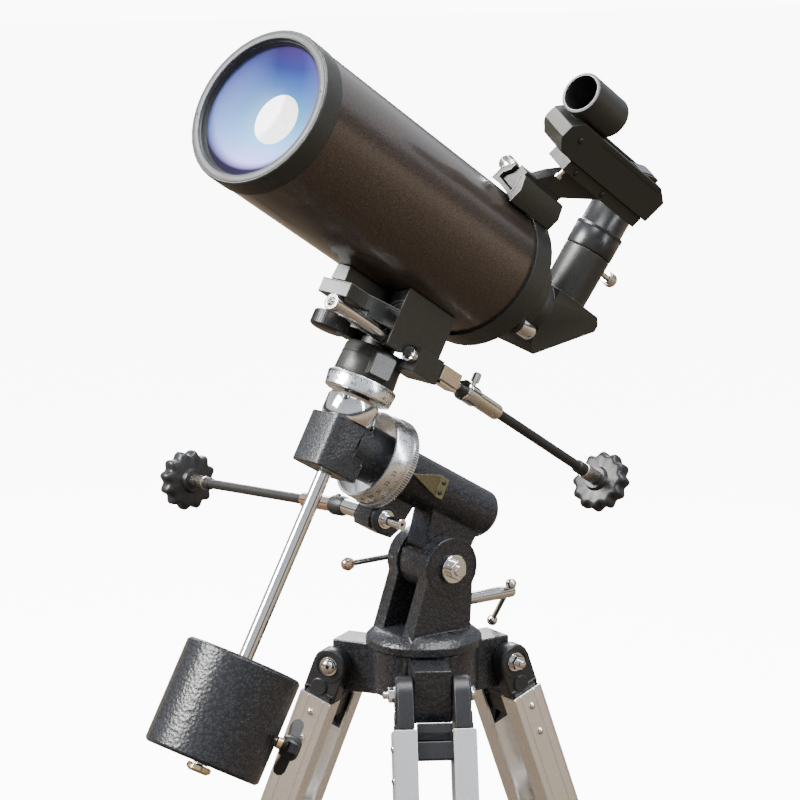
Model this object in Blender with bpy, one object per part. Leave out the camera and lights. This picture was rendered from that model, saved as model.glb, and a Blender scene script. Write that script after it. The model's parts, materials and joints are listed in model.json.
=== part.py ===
# Small mirror-lens telescope on a German equatorial mount and an aluminium tripod, +Z up.
# Lengths and places are given in millimetres and turned into metres when a mesh is made.
# The crossing of the right-ascension and declination axes is the working origin O.  OFFSET
# carries it to the model's own origin, the centre of the overall box on the ground.
# Every piece hangs from an empty that sits on the axis it moves about.
import math

import bmesh
import bpy
from mathutils import Matrix, Vector

# ---------------------------------------------------------------- driving dimensions
MM = 0.001
OFFSET = Vector((-124.168, 0.0, 821.0))  # where O lies above and beside the model's origin
GAP = 0.35                               # running clearance between neighbouring pieces

LATITUDE = 29.75                         # polar axis above the horizon, degrees
RA_REST = -2.24                          # right-ascension angle at rest, degrees
DEC_REST = 12.32                         # tube turned about the declination axis, degrees
TUBE_HEIGHT = 153.24                     # tube axis above the crossing O

TUBE_RADIUS = 52.4
TUBE_WALL = 1.6
FRONT_RIM = 186.1                        # front rim, forward of the declination axis
FRONT_CELL_LENGTH = 15.6
FRONT_CELL_RADIUS = 53.1
GLASS_RADIUS = 46.0
MENISCUS_RADIUS = 130.0                  # curvature of the lens, hollow side outwards
MENISCUS_THICKNESS = 7.0                 # keeps its back off the front cell's lip
SEAM = -53.0                             # joint of the tube and the rear cell
REAR_FACE = -74.0
REAR_RADIUS = 54.4
VISUAL_BACK = -103.0
VISUAL_BACK_RADIUS = 35.5

BARREL_RADIUS = 15.85                    # the standard 31.75 mm eyepiece barrel, just under
DIAGONAL_PLACE = -156.0                  # eyepiece axis, along the tube
DIAGONAL_LEAN = 9.0                      # diagonal turned towards the near side, degrees
EYEPIECE_TOP = 113.0
FINDER_ANGLE = 30.0                      # finder round from the top towards the near side

PIVOT_ALONG = -113.39                    # altitude pivot from O, along the polar axis
PIVOT_ACROSS = -44.48                    # and across it
FORK_WIDTH = 47.0
CHEEK_WIDTH = 12.0
DISC_RADIUS = 21.5
FLANGE_RADIUS = 40.0
FLANGE_HEIGHT = 7.5
BASE_DROP = 56.0                         # flange underside below the altitude pivot
BASE_SHIFT = 6.8                         # azimuth axis forward of the altitude pivot
POLAR_RADIUS = 17.4
POLAR_BACK = -137.0
WORM_PLACE = (-57.0, 0.0, -34.0)         # right-ascension worm, in the polar frame
CABLE_END = (-57.0, -235.0, -52.0)       # far end of its flexible shaft
DEC_WORM_PLACE = (0.0, 30.4, 67.0)       # declination worm, in the saddle frame

WEIGHT_TOP = -157.6                      # counterweight along its shaft, below O
WEIGHT_BOTTOM = -230.5
WEIGHT_RADIUS = 39.9
WEIGHT_KNOB = -199.0
SHAFT_RADIUS = 5.0
SHAFT_BORE = 5.35

HUB_RADIUS = 38.0
HUB_HEIGHT = 33.0
LUG_WIDTH = 26.0
LUG_REACH = 64.0
LUG_HEIGHT = 36.0
LEG_AZIMUTH = {"a": 240.0, "b": 0.0, "c": 120.0}
LEG_HINGE_RADIUS = 61.0
LEG_HINGE_HEIGHT = -18.5
LEG_SPLAY = 21.0
RAIL_INNER = 12.0
RAIL_OUTER = 27.2
RAIL_HALF_DEPTH = 12.5
RAIL_WALL = 1.8
RAIL_TOP = -24.0
RAIL_END = -455.0
CLAMP_END = -502.0
LEG_KNOB = -480.0
LOWER_END = -672.0

# colour, roughness and metallic value of each finish
FINISHES = {
    "hammered": ((0.035, 0.036, 0.038), 0.35, 0.1),
    "satin": ((0.045, 0.046, 0.042), 0.45, 0.1),
    "enamel": ((0.055, 0.045, 0.040), 0.20, 0.5),
    "black_metal": ((0.030, 0.030, 0.032), 0.30, 0.3),
    "chrome": ((0.80, 0.80, 0.80), 0.10, 1.0),
    "bright_steel": ((0.50, 0.46, 0.42), 0.20, 1.0),
    "silver": ((0.78, 0.79, 0.80), 0.30, 0.9),
    "moulding": ((0.024, 0.025, 0.027), 0.45, 0.0),
    "rubber": ((0.020, 0.020, 0.020), 0.80, 0.0),
    "brass": ((0.72, 0.58, 0.36), 0.25, 1.0),
    "grey": ((0.35, 0.36, 0.37), 0.30, 0.2),
    "glass": ((0.20, 0.42, 0.70), 0.05, 0.0),
    "mirror": ((0.90, 0.90, 0.92), 0.05, 1.0),
    "aluminium": ((0.78, 0.77, 0.73), 0.35, 1.0),
}
SMOOTH_BELOW = math.radians(40)          # flatter edges than this are shaded round
MERGE = 2e-6                             # metres

for old in list(bpy.data.objects):
    bpy.data.objects.remove(old, do_unlink=True)


# ---------------------------------------------------------------- frames
def frame(x_axis, y_axis, z_axis, origin):
    """A frame from its axes and its origin, which is in millimetres from O."""
    matrix = Matrix.Identity(4)
    place = (Vector(origin) + OFFSET) * MM
    for column, vector in enumerate((x_axis, y_axis, z_axis, place)):
        for row in range(3):
            matrix[row][column] = vector[row]
    return matrix


def at(base, point):
    """The world place of a point in a frame."""
    return base @ (Vector(point) * MM)


def shifted(base, x=0.0, y=0.0, z=0.0):
    return base @ Matrix.Translation(Vector((x, y, z)) * MM)


def turned(base, degrees, axis):
    return base @ Matrix.Rotation(math.radians(degrees), 4, axis)


def section(base):
    """The same frame with its Z along the old X, for outlines drawn across the tube."""
    return base @ Matrix(((0, 0, 1, 0), (1, 0, 0, 0), (0, 1, 0, 0), (0, 0, 0, 1)))


# the same frame with its X along the old Z, for the wings of the counterweight's knob
SIDEWAYS = Matrix(((0, 1, 0, 0), (0, 0, 1, 0), (1, 0, 0, 0), (0, 0, 0, 1)))


def aimed(base, start, end):
    """A frame at start whose Z runs to end, both points in the base frame."""
    first = at(base, start)
    along = (at(base, end) - first).normalized()
    level = Vector((0, 0, 1)) if abs(along.z) < 0.9 else Vector((1, 0, 0))
    sideways = along.cross(level).normalized()
    return frame(sideways, along.cross(sideways), along, first / MM - OFFSET)


def unit(degrees):
    return math.cos(math.radians(degrees)), math.sin(math.radians(degrees))


NORTH, NEAR, UP = Vector((-1, 0, 0)), Vector((0, -1, 0)), Vector((0, 0, 1))
cosine, sine = unit(LATITUDE)
POLAR_AXIS = cosine * NORTH + sine * UP
ABOVE_POLAR = cosine * UP - sine * NORTH
cosine, sine = unit(RA_REST)
DEC_AXIS = cosine * ABOVE_POLAR + sine * NEAR
SIDE_OF_DEC = DEC_AXIS.cross(POLAR_AXIS)
cosine, sine = unit(DEC_REST)
TUBE_AXIS = cosine * POLAR_AXIS + sine * SIDE_OF_DEC
SIDE_OF_TUBE = DEC_AXIS.cross(TUBE_AXIS)
cosine, sine = unit(FINDER_ANGLE)
FINDER_SIDE = cosine * SIDE_OF_TUBE - sine * DEC_AXIS
FINDER_UP = sine * SIDE_OF_TUBE + cosine * DEC_AXIS
TUBE_ORIGIN = TUBE_HEIGHT * DEC_AXIS
PIVOT_POINT = PIVOT_ALONG * POLAR_AXIS + PIVOT_ACROSS * ABOVE_POLAR
BASE_POINT = PIVOT_POINT + Vector((-BASE_SHIFT, 0, -BASE_DROP))

POLAR = frame(POLAR_AXIS, NEAR, ABOVE_POLAR, (0, 0, 0))
DEC = frame(POLAR_AXIS, SIDE_OF_DEC, DEC_AXIS, (0, 0, 0))
SADDLE = frame(TUBE_AXIS, SIDE_OF_TUBE, DEC_AXIS, (0, 0, 0))
TUBE = frame(TUBE_AXIS, SIDE_OF_TUBE, DEC_AXIS, TUBE_ORIGIN)
FINDER = frame(TUBE_AXIS, FINDER_SIDE, FINDER_UP, TUBE_ORIGIN)
PIVOT = frame(-NORTH, -NEAR, UP, PIVOT_POINT)
BASE = frame(-NORTH, -NEAR, UP, BASE_POINT)
LATITUDE_SCREW = shifted(PIVOT, z=-31.0)
WORM = shifted(POLAR, *WORM_PLACE)
CABLE = aimed(POLAR, (WORM_PLACE[0], -40.2, WORM_PLACE[2] - 0.2), CABLE_END)
WEIGHT_LOCK = turned(shifted(DEC, z=WEIGHT_KNOB), math.degrees(math.atan2(0.5, -0.87)), "Z")
DEC_WORM = shifted(SADDLE, *DEC_WORM_PLACE)
DEC_CABLE = aimed(DEC_WORM, (-55.3, 0, 0), (-200.0, 0, 0))
SADDLE_SCREW = shifted(SADDLE, 49.0, -2.0)
SADDLE_ROD = shifted(SADDLE, 0, 18.6, TUBE_HEIGHT - 82.6)
FOCUS = shifted(TUBE, 0, 34.5, -27.0)
DIAGONAL = shifted(turned(TUBE, -DIAGONAL_LEAN, "X"), DIAGONAL_PLACE)
DIAGONAL_SCREW = turned(shifted(DIAGONAL, z=50.0), 180, "Z")
FINDER_SCREW = turned(shifted(FINDER, -36.0, 0, 65.5), -90, "Z")
FINDER_DIAL = shifted(FINDER, -32.0, 0, 112.0)
RING = shifted(FINDER, 0, 0, 137.0)


def leg_frame(azimuth):
    """Frame of a leg at its hinge: X outwards, Y along the hinge, Z back up the leg."""
    out_x, out_y = unit(azimuth)
    outwards = Vector((out_x, out_y, 0))
    hinge = UP.cross(outwards)
    upright, lean = unit(LEG_SPLAY)
    origin = BASE_POINT + LEG_HINGE_RADIUS * outwards + LEG_HINGE_HEIGHT * UP
    return frame(upright * outwards + lean * UP, hinge, upright * UP - lean * outwards, origin)


LEG = {key: leg_frame(azimuth) for key, azimuth in LEG_AZIMUTH.items()}


# ---------------------------------------------------------------- solid builders
def solid(vertices, faces, base):
    """A mesh object from points in millimetres in a frame, its faces turned outwards."""
    mesh = bpy.data.meshes.new("shape")
    mesh.from_pydata([Vector(vertex) * MM for vertex in vertices], [], faces)
    work = bmesh.new()
    work.from_mesh(mesh)
    bmesh.ops.recalc_face_normals(work, faces=work.faces)
    work.to_mesh(mesh)
    work.free()
    shape = bpy.data.objects.new("shape", mesh)
    bpy.context.scene.collection.objects.link(shape)
    shape.matrix_world = base
    return shape


def lathe(profile, steps, base, ring=False, axis="Z"):
    """Turn (along, radius) pairs about a frame axis.  ring closes the profile on itself."""
    vertices, rows, faces = [], [], []
    for along, radius in profile:
        count = steps if radius > 0 else 1
        rows.append(list(range(len(vertices), len(vertices) + count)))
        for i in range(count):
            cosine, sine = unit(360.0 * i / steps)
            vertices.append((radius * cosine, radius * sine, along))
    pairs = list(zip(rows, rows[1:]))
    if ring:
        pairs.append((rows[-1], rows[0]))
    for low, high in pairs:
        for i in range(steps):
            j = (i + 1) % steps
            corners = [low[i % len(low)], low[j % len(low)], high[j % len(high)], high[i % len(high)]]
            corners = list(dict.fromkeys(corners))
            if len(corners) > 2:
                faces.append(corners)
    if not ring:
        faces += [row for row in (rows[0], rows[-1]) if len(row) > 1]
    if axis == "X":
        vertices = [(z, x, y) for x, y, z in vertices]
    elif axis == "Y":
        vertices = [(y, z, x) for x, y, z in vertices]
    return solid(vertices, faces, base)


def prism(outline, low, high, base, axis="Z"):
    """Extrude an outline drawn in XY, or in XZ for axis Y."""
    count = len(outline)
    if axis == "Y":
        vertices = [(x, level, z) for level in (low, high) for x, z in outline]
    else:
        vertices = [(x, y, level) for level in (low, high) for x, y in outline]
    faces = [list(range(count)), list(range(count, 2 * count))]
    for i in range(count):
        j = (i + 1) % count
        faces.append([i, j, count + j, count + i])
    return solid(vertices, faces, base)


def box(x, y, z, base):
    """A block from (low, high) pairs along each axis."""
    return prism([(x[0], y[0]), (x[1], y[0]), (x[1], y[1]), (x[0], y[1])], z[0], z[1], base)


def arc(centre, radius, start, end, steps):
    """Points on an arc, its angles in degrees."""
    points = []
    for i in range(steps + 1):
        cosine, sine = unit(start + (end - start) * i / steps)
        points.append((centre[0] + radius * cosine, centre[1] + radius * sine))
    return points


def rounded(x, half_width, radius, steps):
    """A rectangle with round corners, x being its (low, high) pair."""
    outline = []
    corners = ((x[1] - radius, half_width - radius), (x[0] + radius, half_width - radius),
               (x[0] + radius, radius - half_width), (x[1] - radius, radius - half_width))
    for quarter, centre in enumerate(corners):
        outline += arc(centre, radius, 90 * quarter, 90 * quarter + 90, steps)
    return outline


def rod(start, end, radius, steps, base):
    length = (Vector(end) - Vector(start)).length
    return lathe([(0, radius), (length, radius)], steps, aimed(base, start, end))


def ball(centre, radius, base):
    bands, steps = 6, 12
    profile = [(-radius, 0)]
    for i in range(1, bands):
        cosine, sine = unit(180.0 * i / bands)
        profile.append((-radius * cosine, radius * sine))
    profile.append((radius, 0))
    return lathe(profile, steps, shifted(base, *centre))


def combine(target, other, operation):
    """Apply a Boolean and use the other shape up."""
    modifier = target.modifiers.new("combine", "BOOLEAN")
    modifier.object = other
    modifier.operation = operation
    modifier.solver = "EXACT"
    graph = bpy.context.evaluated_depsgraph_get()
    mesh = bpy.data.meshes.new_from_object(target.evaluated_get(graph))
    target.modifiers.clear()
    target.data = mesh
    bpy.data.objects.remove(other, do_unlink=True)


def join(target, *others):
    for other in others:
        combine(target, other, "UNION")
    return target


def cut(target, *tools):
    for tool in tools:
        combine(target, tool, "DIFFERENCE")
    return target


# ---------------------------------------------------------------- pivots and nodes
PIVOTS = {}


def pivot(name, base, parent=None):
    """An empty on a moving axis, hung from the pivot that carries it."""
    empty = bpy.data.objects.new("pivot_" + name, None)
    bpy.context.scene.collection.objects.link(empty)
    if parent:
        empty.parent = PIVOTS[parent][0]
        empty.matrix_basis = PIVOTS[parent][1].inverted() @ base
    else:
        empty.matrix_basis = base
    PIVOTS[name] = (empty, base)


def node(name, shape, hung_from, finish):
    """Name a finished shape, clean its mesh, give it its material and hang it from its pivot."""
    empty, base = PIVOTS[hung_from]
    mesh = shape.data
    mesh.transform(base.inverted() @ shape.matrix_world)
    work = bmesh.new()
    work.from_mesh(mesh)
    bmesh.ops.remove_doubles(work, verts=work.verts, dist=MERGE)
    bmesh.ops.dissolve_degenerate(work, edges=work.edges, dist=MERGE / 2)
    bmesh.ops.recalc_face_normals(work, faces=work.faces)
    work.to_mesh(mesh)
    work.free()
    mesh.shade_smooth()
    mesh.set_sharp_from_angle(angle=SMOOTH_BELOW)
    shape.matrix_basis = Matrix.Identity(4)
    shape.parent = empty
    shape.name = name
    mesh.name = name
    colour, roughness, metallic = FINISHES[finish]
    material = bpy.data.materials.new(name)
    material.use_nodes = True
    shader = material.node_tree.nodes["Principled BSDF"]
    shader.inputs["Base Color"].default_value = (*colour, 1)
    shader.inputs["Roughness"].default_value = roughness
    shader.inputs["Metallic"].default_value = metallic
    mesh.materials.clear()
    mesh.materials.append(material)


pivot("tripod", BASE)
pivot("fork", BASE, "tripod")
pivot("altitude", PIVOT, "fork")
pivot("altitude_lever", PIVOT, "fork")
pivot("latitude_screw", LATITUDE_SCREW, "fork")
pivot("ra_worm", WORM, "altitude")
pivot("ra_cable", CABLE, "altitude")
pivot("right_ascension", DEC, "altitude")
pivot("ra_circle", DEC, "right_ascension")
pivot("counterweight", shifted(DEC, z=WEIGHT_KNOB), "right_ascension")
pivot("weight_lock", WEIGHT_LOCK, "counterweight")
pivot("end_screw", shifted(DEC, z=WEIGHT_BOTTOM), "right_ascension")
pivot("declination", SADDLE, "right_ascension")
pivot("dec_circle", SADDLE, "right_ascension")
pivot("dec_worm", DEC_WORM, "declination")
pivot("saddle_screw", SADDLE_SCREW, "declination")
pivot("optical_tube", TUBE, "declination")
pivot("focus", FOCUS, "optical_tube")
pivot("mirror", TUBE, "optical_tube")
pivot("diagonal", DIAGONAL, "optical_tube")
pivot("eyepiece", DIAGONAL, "diagonal")
pivot("diagonal_screw", DIAGONAL_SCREW, "diagonal")
pivot("finder", FINDER, "optical_tube")
pivot("finder_screw", FINDER_SCREW, "optical_tube")
pivot("finder_dial", FINDER_DIAL, "finder")
for key, base in LEG.items():
    pivot("leg_" + key, base, "tripod")
    pivot("leg_%s_inner" % key, base, "leg_" + key)
    pivot("leg_%s_knob" % key, shifted(base, z=LEG_KNOB), "leg_" + key)


# ---------------------------------------------------------------- tripod
def tripod_hub():
    profile = [(-HUB_HEIGHT, HUB_RADIUS - 3), (-HUB_HEIGHT + 3, HUB_RADIUS), (-0.4, HUB_RADIUS)]
    hub = lathe(profile, 24, BASE)
    half = LUG_WIDTH / 2
    for azimuth in LEG_AZIMUTH.values():
        lug = [(20, -half), (LUG_REACH, -half), (LUG_REACH, half), (20, half)]
        join(hub, prism(lug, -2.0 - LUG_HEIGHT, -2.0, turned(BASE, azimuth, "Z")))
    cut(hub, lathe([(-23.0, 6.6), (1.0, 6.6)], 16, BASE))
    node("tripod_hub", hub, "tripod", "hammered")


def leg_yoke(key, base):
    """Cross block with an ear either side of the hub's lug."""
    yoke = box((-9.0, 9.0), (-14.6, 14.6), (-44.0, -31.5), base)
    ear = [(-12.5, RAIL_TOP + GAP)] + arc((0, 0), 12.5, 180, 0, 8) + [(12.5, RAIL_TOP + GAP)]
    for sign in (-1, 1):
        plug = sorted((sign * 14.2, sign * 25.0))
        low, high = sorted((sign * 13.4, sign * 24.6))
        join(yoke, box((-10.3, 10.3), plug, (-58.0, -20.0), base), prism(ear, low, high, base, "Y"))
    node("leg_%s_yoke" % key, yoke, "leg_" + key, "moulding")


def leg_rail(key, base, side, sign):
    """Open channel along the upper leg, its open side inwards."""
    deep, wall = RAIL_HALF_DEPTH, RAIL_WALL
    channel = [(-deep, RAIL_INNER), (-deep, RAIL_OUTER), (deep, RAIL_OUTER), (deep, RAIL_INNER),
               (deep - wall, RAIL_INNER), (deep - wall, RAIL_OUTER - wall),
               (wall - deep, RAIL_OUTER - wall), (wall - deep, RAIL_INNER)]
    rail = prism([(x, sign * y) for x, y in channel], RAIL_END, RAIL_TOP, base)
    node("leg_%s_rail_%s" % (key, side), rail, "leg_" + key, "aluminium")


def leg_clamp(key, base):
    outline = [(-15, -26), (-12, -29), (12, -29), (15, -26), (15, 26), (12, 29), (-12, 29), (-15, 26)]
    clamp = prism(outline, CLAMP_END, RAIL_END - GAP, base)
    bore = lathe([(10.0, 4.4), (20.0, 4.4)], 12, shifted(base, z=LEG_KNOB), axis="X")
    cut(clamp, box((-8.3, 8.3), (-11.8, 11.8), (-510.0, -440.0), base), bore)
    node("leg_%s_clamp" % key, clamp, "leg_" + key, "moulding")


def leg_lower(key, base):
    """Sliding bar and its rubber foot, which is cut level with the ground."""
    bar = box((-7.8, 7.8), (-11.3, 11.3), (LOWER_END, -128.0), base)
    node("leg_%s_lower" % key, bar, "leg_%s_inner" % key, "aluminium")
    foot = lathe([(-30.0, 15.0), (-10.0, 15.0), (-2.0, 13.2), (0.0, 12.4)], 20,
                 shifted(base, z=LOWER_END - GAP))
    reach = (-1500, 1500)
    cut(foot, box(reach, reach, (-60.0, 0.0), Matrix.Identity(4)))
    node("leg_%s_foot" % key, foot, "leg_%s_inner" % key, "rubber")


def leg_knob(key, base):
    profile = [(10.4, 3.9), (15.6, 3.9), (15.6, 7.0), (18.0, 7.0), (18.0, 12.5), (20.0, 14.0),
               (29.0, 14.0), (31.0, 12.0)]
    knob = lathe(profile, 12, shifted(base, z=LEG_KNOB), axis="X")
    node("leg_%s_knob" % key, knob, "leg_%s_knob" % key, "moulding")


tripod_hub()
for key, base in LEG.items():
    leg_yoke(key, base)
    leg_rail(key, base, "left", -1)
    leg_rail(key, base, "right", 1)
    leg_clamp(key, base)
    leg_lower(key, base)
    leg_knob(key, base)


# ---------------------------------------------------------------- azimuth fork
def fork_base():
    """Flange with two cheeks, a web between them and the azimuth stud underneath."""
    fork = lathe([(0, FLANGE_RADIUS), (FLANGE_HEIGHT - 2, FLANGE_RADIUS), (FLANGE_HEIGHT, FLANGE_RADIUS - 2),
                  (FLANGE_HEIGHT + 4, 33.0), (FLANGE_HEIGHT + 4.5, 24.0)], 32, BASE)
    join(fork, lathe([(-20.0, 6.0), (1.0, 6.0)], 16, BASE))
    foot = FLANGE_HEIGHT + 1 - BASE_DROP
    cheek = [(15.5, foot), (17.0, -26.0)] + arc((0, 0), DISC_RADIUS, -36, 200, 14) + [(-34.0, foot)]
    for sign in (-1, 1):
        low, high = sorted((sign * (FORK_WIDTH / 2 - CHEEK_WIDTH), sign * FORK_WIDTH / 2))
        join(fork, prism(cheek, low, high, PIVOT, "Y"))
    join(fork, box((3.0, 14.5), (-12.5, 12.5), (foot, -23.0), PIVOT))
    cut(fork, lathe([(-40, SHAFT_BORE), (40, SHAFT_BORE)], 16, PIVOT, axis="Y"))
    cut(fork, lathe([(-5, 4.4), (30, 4.4)], 16, LATITUDE_SCREW, axis="X"))
    node("fork_base", fork, "fork", "hammered")


def altitude_bolt():
    side = FORK_WIDTH / 2
    washer = [(-side - 3.0, 9.4), (-side - GAP, 9.4)]
    nut = [(-side - 9.5, 0), (-side - 9.5, 3.6), (-side - 7.6, 3.9), (-side - 7.6, 6.4), (-side - 3.0, 6.4)]
    shank = [(-side - GAP, 4.95), (side + 13.0, 4.95), (side + 13.0, 0)]
    node("altitude_bolt", lathe(nut + washer + shank, 18, PIVOT, axis="Y"), "fork", "chrome")


def altitude_lever():
    side = FORK_WIDTH / 2
    hub = [(side + 0.6, SHAFT_BORE), (side + 0.6, 8.5), (side + 9.0, 8.5), (side + 10.5, 7.2),
           (side + 10.5, SHAFT_BORE)]
    lever = lathe(hub, 18, PIVOT, ring=True, axis="Y")
    join(lever, rod((-6.6, side + 5.5, 0.2), (-47.0, side + 5.5, -0.4), 2.0, 10, PIVOT))
    join(lever, ball((-50.0, side + 5.5, -0.5), 4.6, PIVOT))
    node("altitude_lever", lever, "altitude_lever", "bright_steel")


def latitude_screw():
    """Plain screw with a ball-ended cross bar through its head."""
    profile = [(4.2, 3.4), (5.0, 4.0), (30.0, 4.0), (30.0, 4.4), (69.0, 4.4), (70.5, 3.4)]
    screw = lathe(profile, 16, LATITUDE_SCREW, axis="X")
    upper, lower = (65.0, -4.5, 6.5), (65.0, 17.0, -24.5)
    join(screw, rod(upper, lower, 1.9, 10, LATITUDE_SCREW))
    for end in (upper, lower):
        join(screw, ball(end, 4.0, LATITUDE_SCREW))
    node("latitude_screw", screw, "latitude_screw", "chrome")


fork_base()
altitude_bolt()
altitude_lever()
latitude_screw()


# ---------------------------------------------------------------- polar housing and its drive
def polar_housing():
    """Barrel on a neck between the fork's cheeks, with the worm's bracket below its front."""
    housing = lathe([(-45.8, POLAR_RADIUS), (POLAR_BACK + 2.0, POLAR_RADIUS), (POLAR_BACK - 2.0, 13.9),
                     (POLAR_BACK - 3.5, 8.4), (POLAR_BACK - 3.5, 0)], 28, POLAR, axis="X")
    x, z = PIVOT_ALONG, PIVOT_ACROSS
    neck = [(x - 17.5, -12.0), (x - 17.5, z + 8.0), (x - 14.0, z), (x + 15.0, z - 6.0), (x + 19.0, z + 6.0),
            (x + 26.0, -12.0)]
    bracket = [(-46.0, -12.0), (-46.0, -38.5), (-49.0, -43.5), (-70.0, -43.5), (-74.0, -36.0), (-78.0, -12.0)]
    join(housing, lathe([(-11.15, 19.6), (11.15, 19.6)], 24, PIVOT, axis="Y"))
    join(housing, prism(neck, -11.15, 11.15, POLAR, "Y"))
    join(housing, prism(bracket, -14.0, 4.0, POLAR, "Y"))
    cut(housing, lathe([(-112.0, 10.4), (-40.0, 10.4)], 24, POLAR, axis="X"))
    cut(housing, lathe([(-30, 3.9), (30, 3.9)], 16, WORM, axis="Y"))
    cut(housing, lathe([(-40, SHAFT_BORE), (40, SHAFT_BORE)], 16, PIVOT, axis="Y"))
    node("polar_housing", housing, "altitude", "hammered")


def ra_worm():
    profile = [(27.0, 3.0), (26.4, 3.5), (11.0, 3.5), (11.0, 5.2), (8.6, 5.2), (8.6, 6.6), (4.35, 6.6),
               (4.35, 3.5), (-14.4, 3.5), (-14.4, 5.6), (-39.6, 5.6), (-39.6, 5.0)]
    node("ra_worm", lathe(profile, 16, WORM, axis="Y"), "ra_worm", "chrome")


def hand_wheel(base, foot, name, hung_from):
    """Twelve-lobed wheel with a hub behind and a dished face; foot is where its hub begins."""
    lobes, points = 12, 48
    outline = []
    for i in range(points):
        cosine, sine = unit(360.0 * i / points)
        radius = 20.9 - 1.6 * unit(360.0 * i / points * lobes)[0]
        outline.append((radius * cosine, radius * sine))
    wheel = prism(outline, foot + 3.0, foot + 16.0, base)
    join(wheel, lathe([(foot, 8.0), (foot + 3.4, 9.5)], 16, base))
    cut(wheel, lathe([(foot + 11.0, 0), (foot + 18.0, 15.0), (foot + 20.0, 15.0)], 24, base))
    node(name, wheel, hung_from, "moulding")


def ra_cable():
    profile = [(0, 5.4), (3, 7.0), (13, 7.0), (15, 4.8), (50, 4.8), (51, 3.5), (168, 3.5), (169, 4.6),
               (191, 4.6)]
    node("ra_cable", lathe(profile, 14, CABLE), "ra_cable", "rubber")
    hand_wheel(CABLE, 191.3, "ra_knob", "ra_cable")


polar_housing()
ra_worm()
ra_cable()


# ---------------------------------------------------------------- right-ascension body
def ra_body():
    """Block at the crossing, its collar and spindle running back into the polar housing."""
    body = prism(rounded((-17.0, 19.0), 16.5, 5.0, 3), -24.0, 12.0, DEC)
    join(body, lathe([(-5.0, 18.4), (-41.1, 18.4)], 28, DEC, axis="X"))
    join(body, lathe([(-38.0, 9.95), (-110.0, 9.95)], 24, DEC, axis="X"))
    cut(body, lathe([(12.0, 18.7), (30.0, 18.7)], 28, DEC))
    cut(body, lathe([(13.0, 9.0), (-12.0, 9.0)], 24, DEC))
    cut(body, lathe([(-30.0, 5.3), (-11.0, 5.3)], 16, DEC))
    node("ra_body", body, "right_ascension", "hammered")


def ra_circle():
    """Cup-shaped setting circle that opens forwards."""
    profile = [(-45.2, 12.0), (-45.2, 31.0), (-44.4, 31.8), (-40.5, 31.8), (-39.9, 31.2), (-25.7, 30.5),
               (-25.7, 28.2), (-41.6, 28.6), (-41.6, 12.0)]
    node("ra_circle", lathe(profile, 32, DEC, ring=True, axis="X"), "ra_circle", "silver")


def dec_collar():
    profile = [(12.35, 9.4), (12.35, 17.2), (15.0, 18.2), (26.0, 18.2), (29.0, 16.5), (29.0, 9.4)]
    node("dec_collar", lathe(profile, 28, DEC, ring=True), "right_ascension", "chrome")


def counterweight_shaft():
    profile = [(-11.6, 0), (-11.6, SHAFT_RADIUS), (-231.4, SHAFT_RADIUS), (-231.4, 2.6), (-219.0, 2.6),
               (-219.0, 0)]
    node("counterweight_shaft", lathe(profile, 16, DEC), "right_ascension", "chrome")
    end = [(-221.0, 0), (-221.0, 2.2), (-231.8, 2.2), (-231.8, 7.6), (-232.4, 8.2), (-235.4, 8.2),
           (-237.0, 6.0), (-237.0, 0)]
    node("shaft_end_screw", lathe(end, 16, DEC), "end_screw", "brass")


def counterweight():
    chamfer = 2.0
    profile = [(WEIGHT_TOP, SHAFT_BORE), (WEIGHT_TOP, WEIGHT_RADIUS - chamfer),
               (WEIGHT_TOP - chamfer, WEIGHT_RADIUS), (WEIGHT_BOTTOM + chamfer, WEIGHT_RADIUS),
               (WEIGHT_BOTTOM, WEIGHT_RADIUS - chamfer), (WEIGHT_BOTTOM, SHAFT_BORE)]
    weight = lathe(profile, 32, DEC, ring=True)
    cut(weight, lathe([(20.0, 3.9), (60.0, 3.9)], 14, WEIGHT_LOCK, axis="X"))
    node("counterweight", weight, "counterweight", "hammered")


def counterweight_knob():
    """Stud with three wings."""
    profile = [(20.5, 3.5), (44.0, 3.5), (44.0, 6.5), (48.0, 8.0), (54.0, 8.0), (56.0, 6.0)]
    knob = lathe(profile, 16, WEIGHT_LOCK, axis="X")
    wing = [(5.5, 46.6), (16.0, 45.6)] + arc((17.0, 49.6), 4.0, -90, 90, 4) + [(5.5, 53.4)]
    for i in range(3):
        plane = turned(WEIGHT_LOCK, 90 + 120 * i, "X") @ SIDEWAYS
        join(knob, prism(wing, -3.2, 3.2, plane))
    node("counterweight_knob", knob, "weight_lock", "moulding")


ra_body()
ra_circle()
dec_collar()
counterweight_shaft()
counterweight()
counterweight_knob()


# ---------------------------------------------------------------- declination head and saddle
def dec_circle():
    profile = [(31.0, 9.4), (31.0, 23.0), (32.0, 23.6), (40.6, 24.4), (41.6, 23.8), (41.6, 9.4)]
    node("dec_circle", lathe(profile, 28, SADDLE, ring=True), "dec_circle", "silver")


def dec_head():
    """Spindle and drum with the worm's housing at one side and a square boss at the other."""
    head = lathe([(-11.0, 8.65), (42.0, 8.65), (42.0, 21.0), (44.0, 21.6), (62.0, 20.6), (64.2, 19.0),
                  (64.2, 12.0), (70.2, 12.0)], 28, SADDLE)
    join(head, box((-28.0, -2.0), (10.0, 36.0), (57.5, 64.0), SADDLE))
    join(head, box((-28.0, -2.0), (25.6, 36.0), (60.0, 74.5), SADDLE))
    join(head, prism(rounded((-8.0, 8.0), 8.0, 1.5, 2), 15.0, 25.5,
                     section(turned(shifted(SADDLE, z=52.0), 62.0, "Z"))))
    cut(head, lathe([(-60, 3.9), (20, 3.9)], 16, DEC_WORM, axis="X"))
    node("dec_head", head, "declination", "satin")


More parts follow.
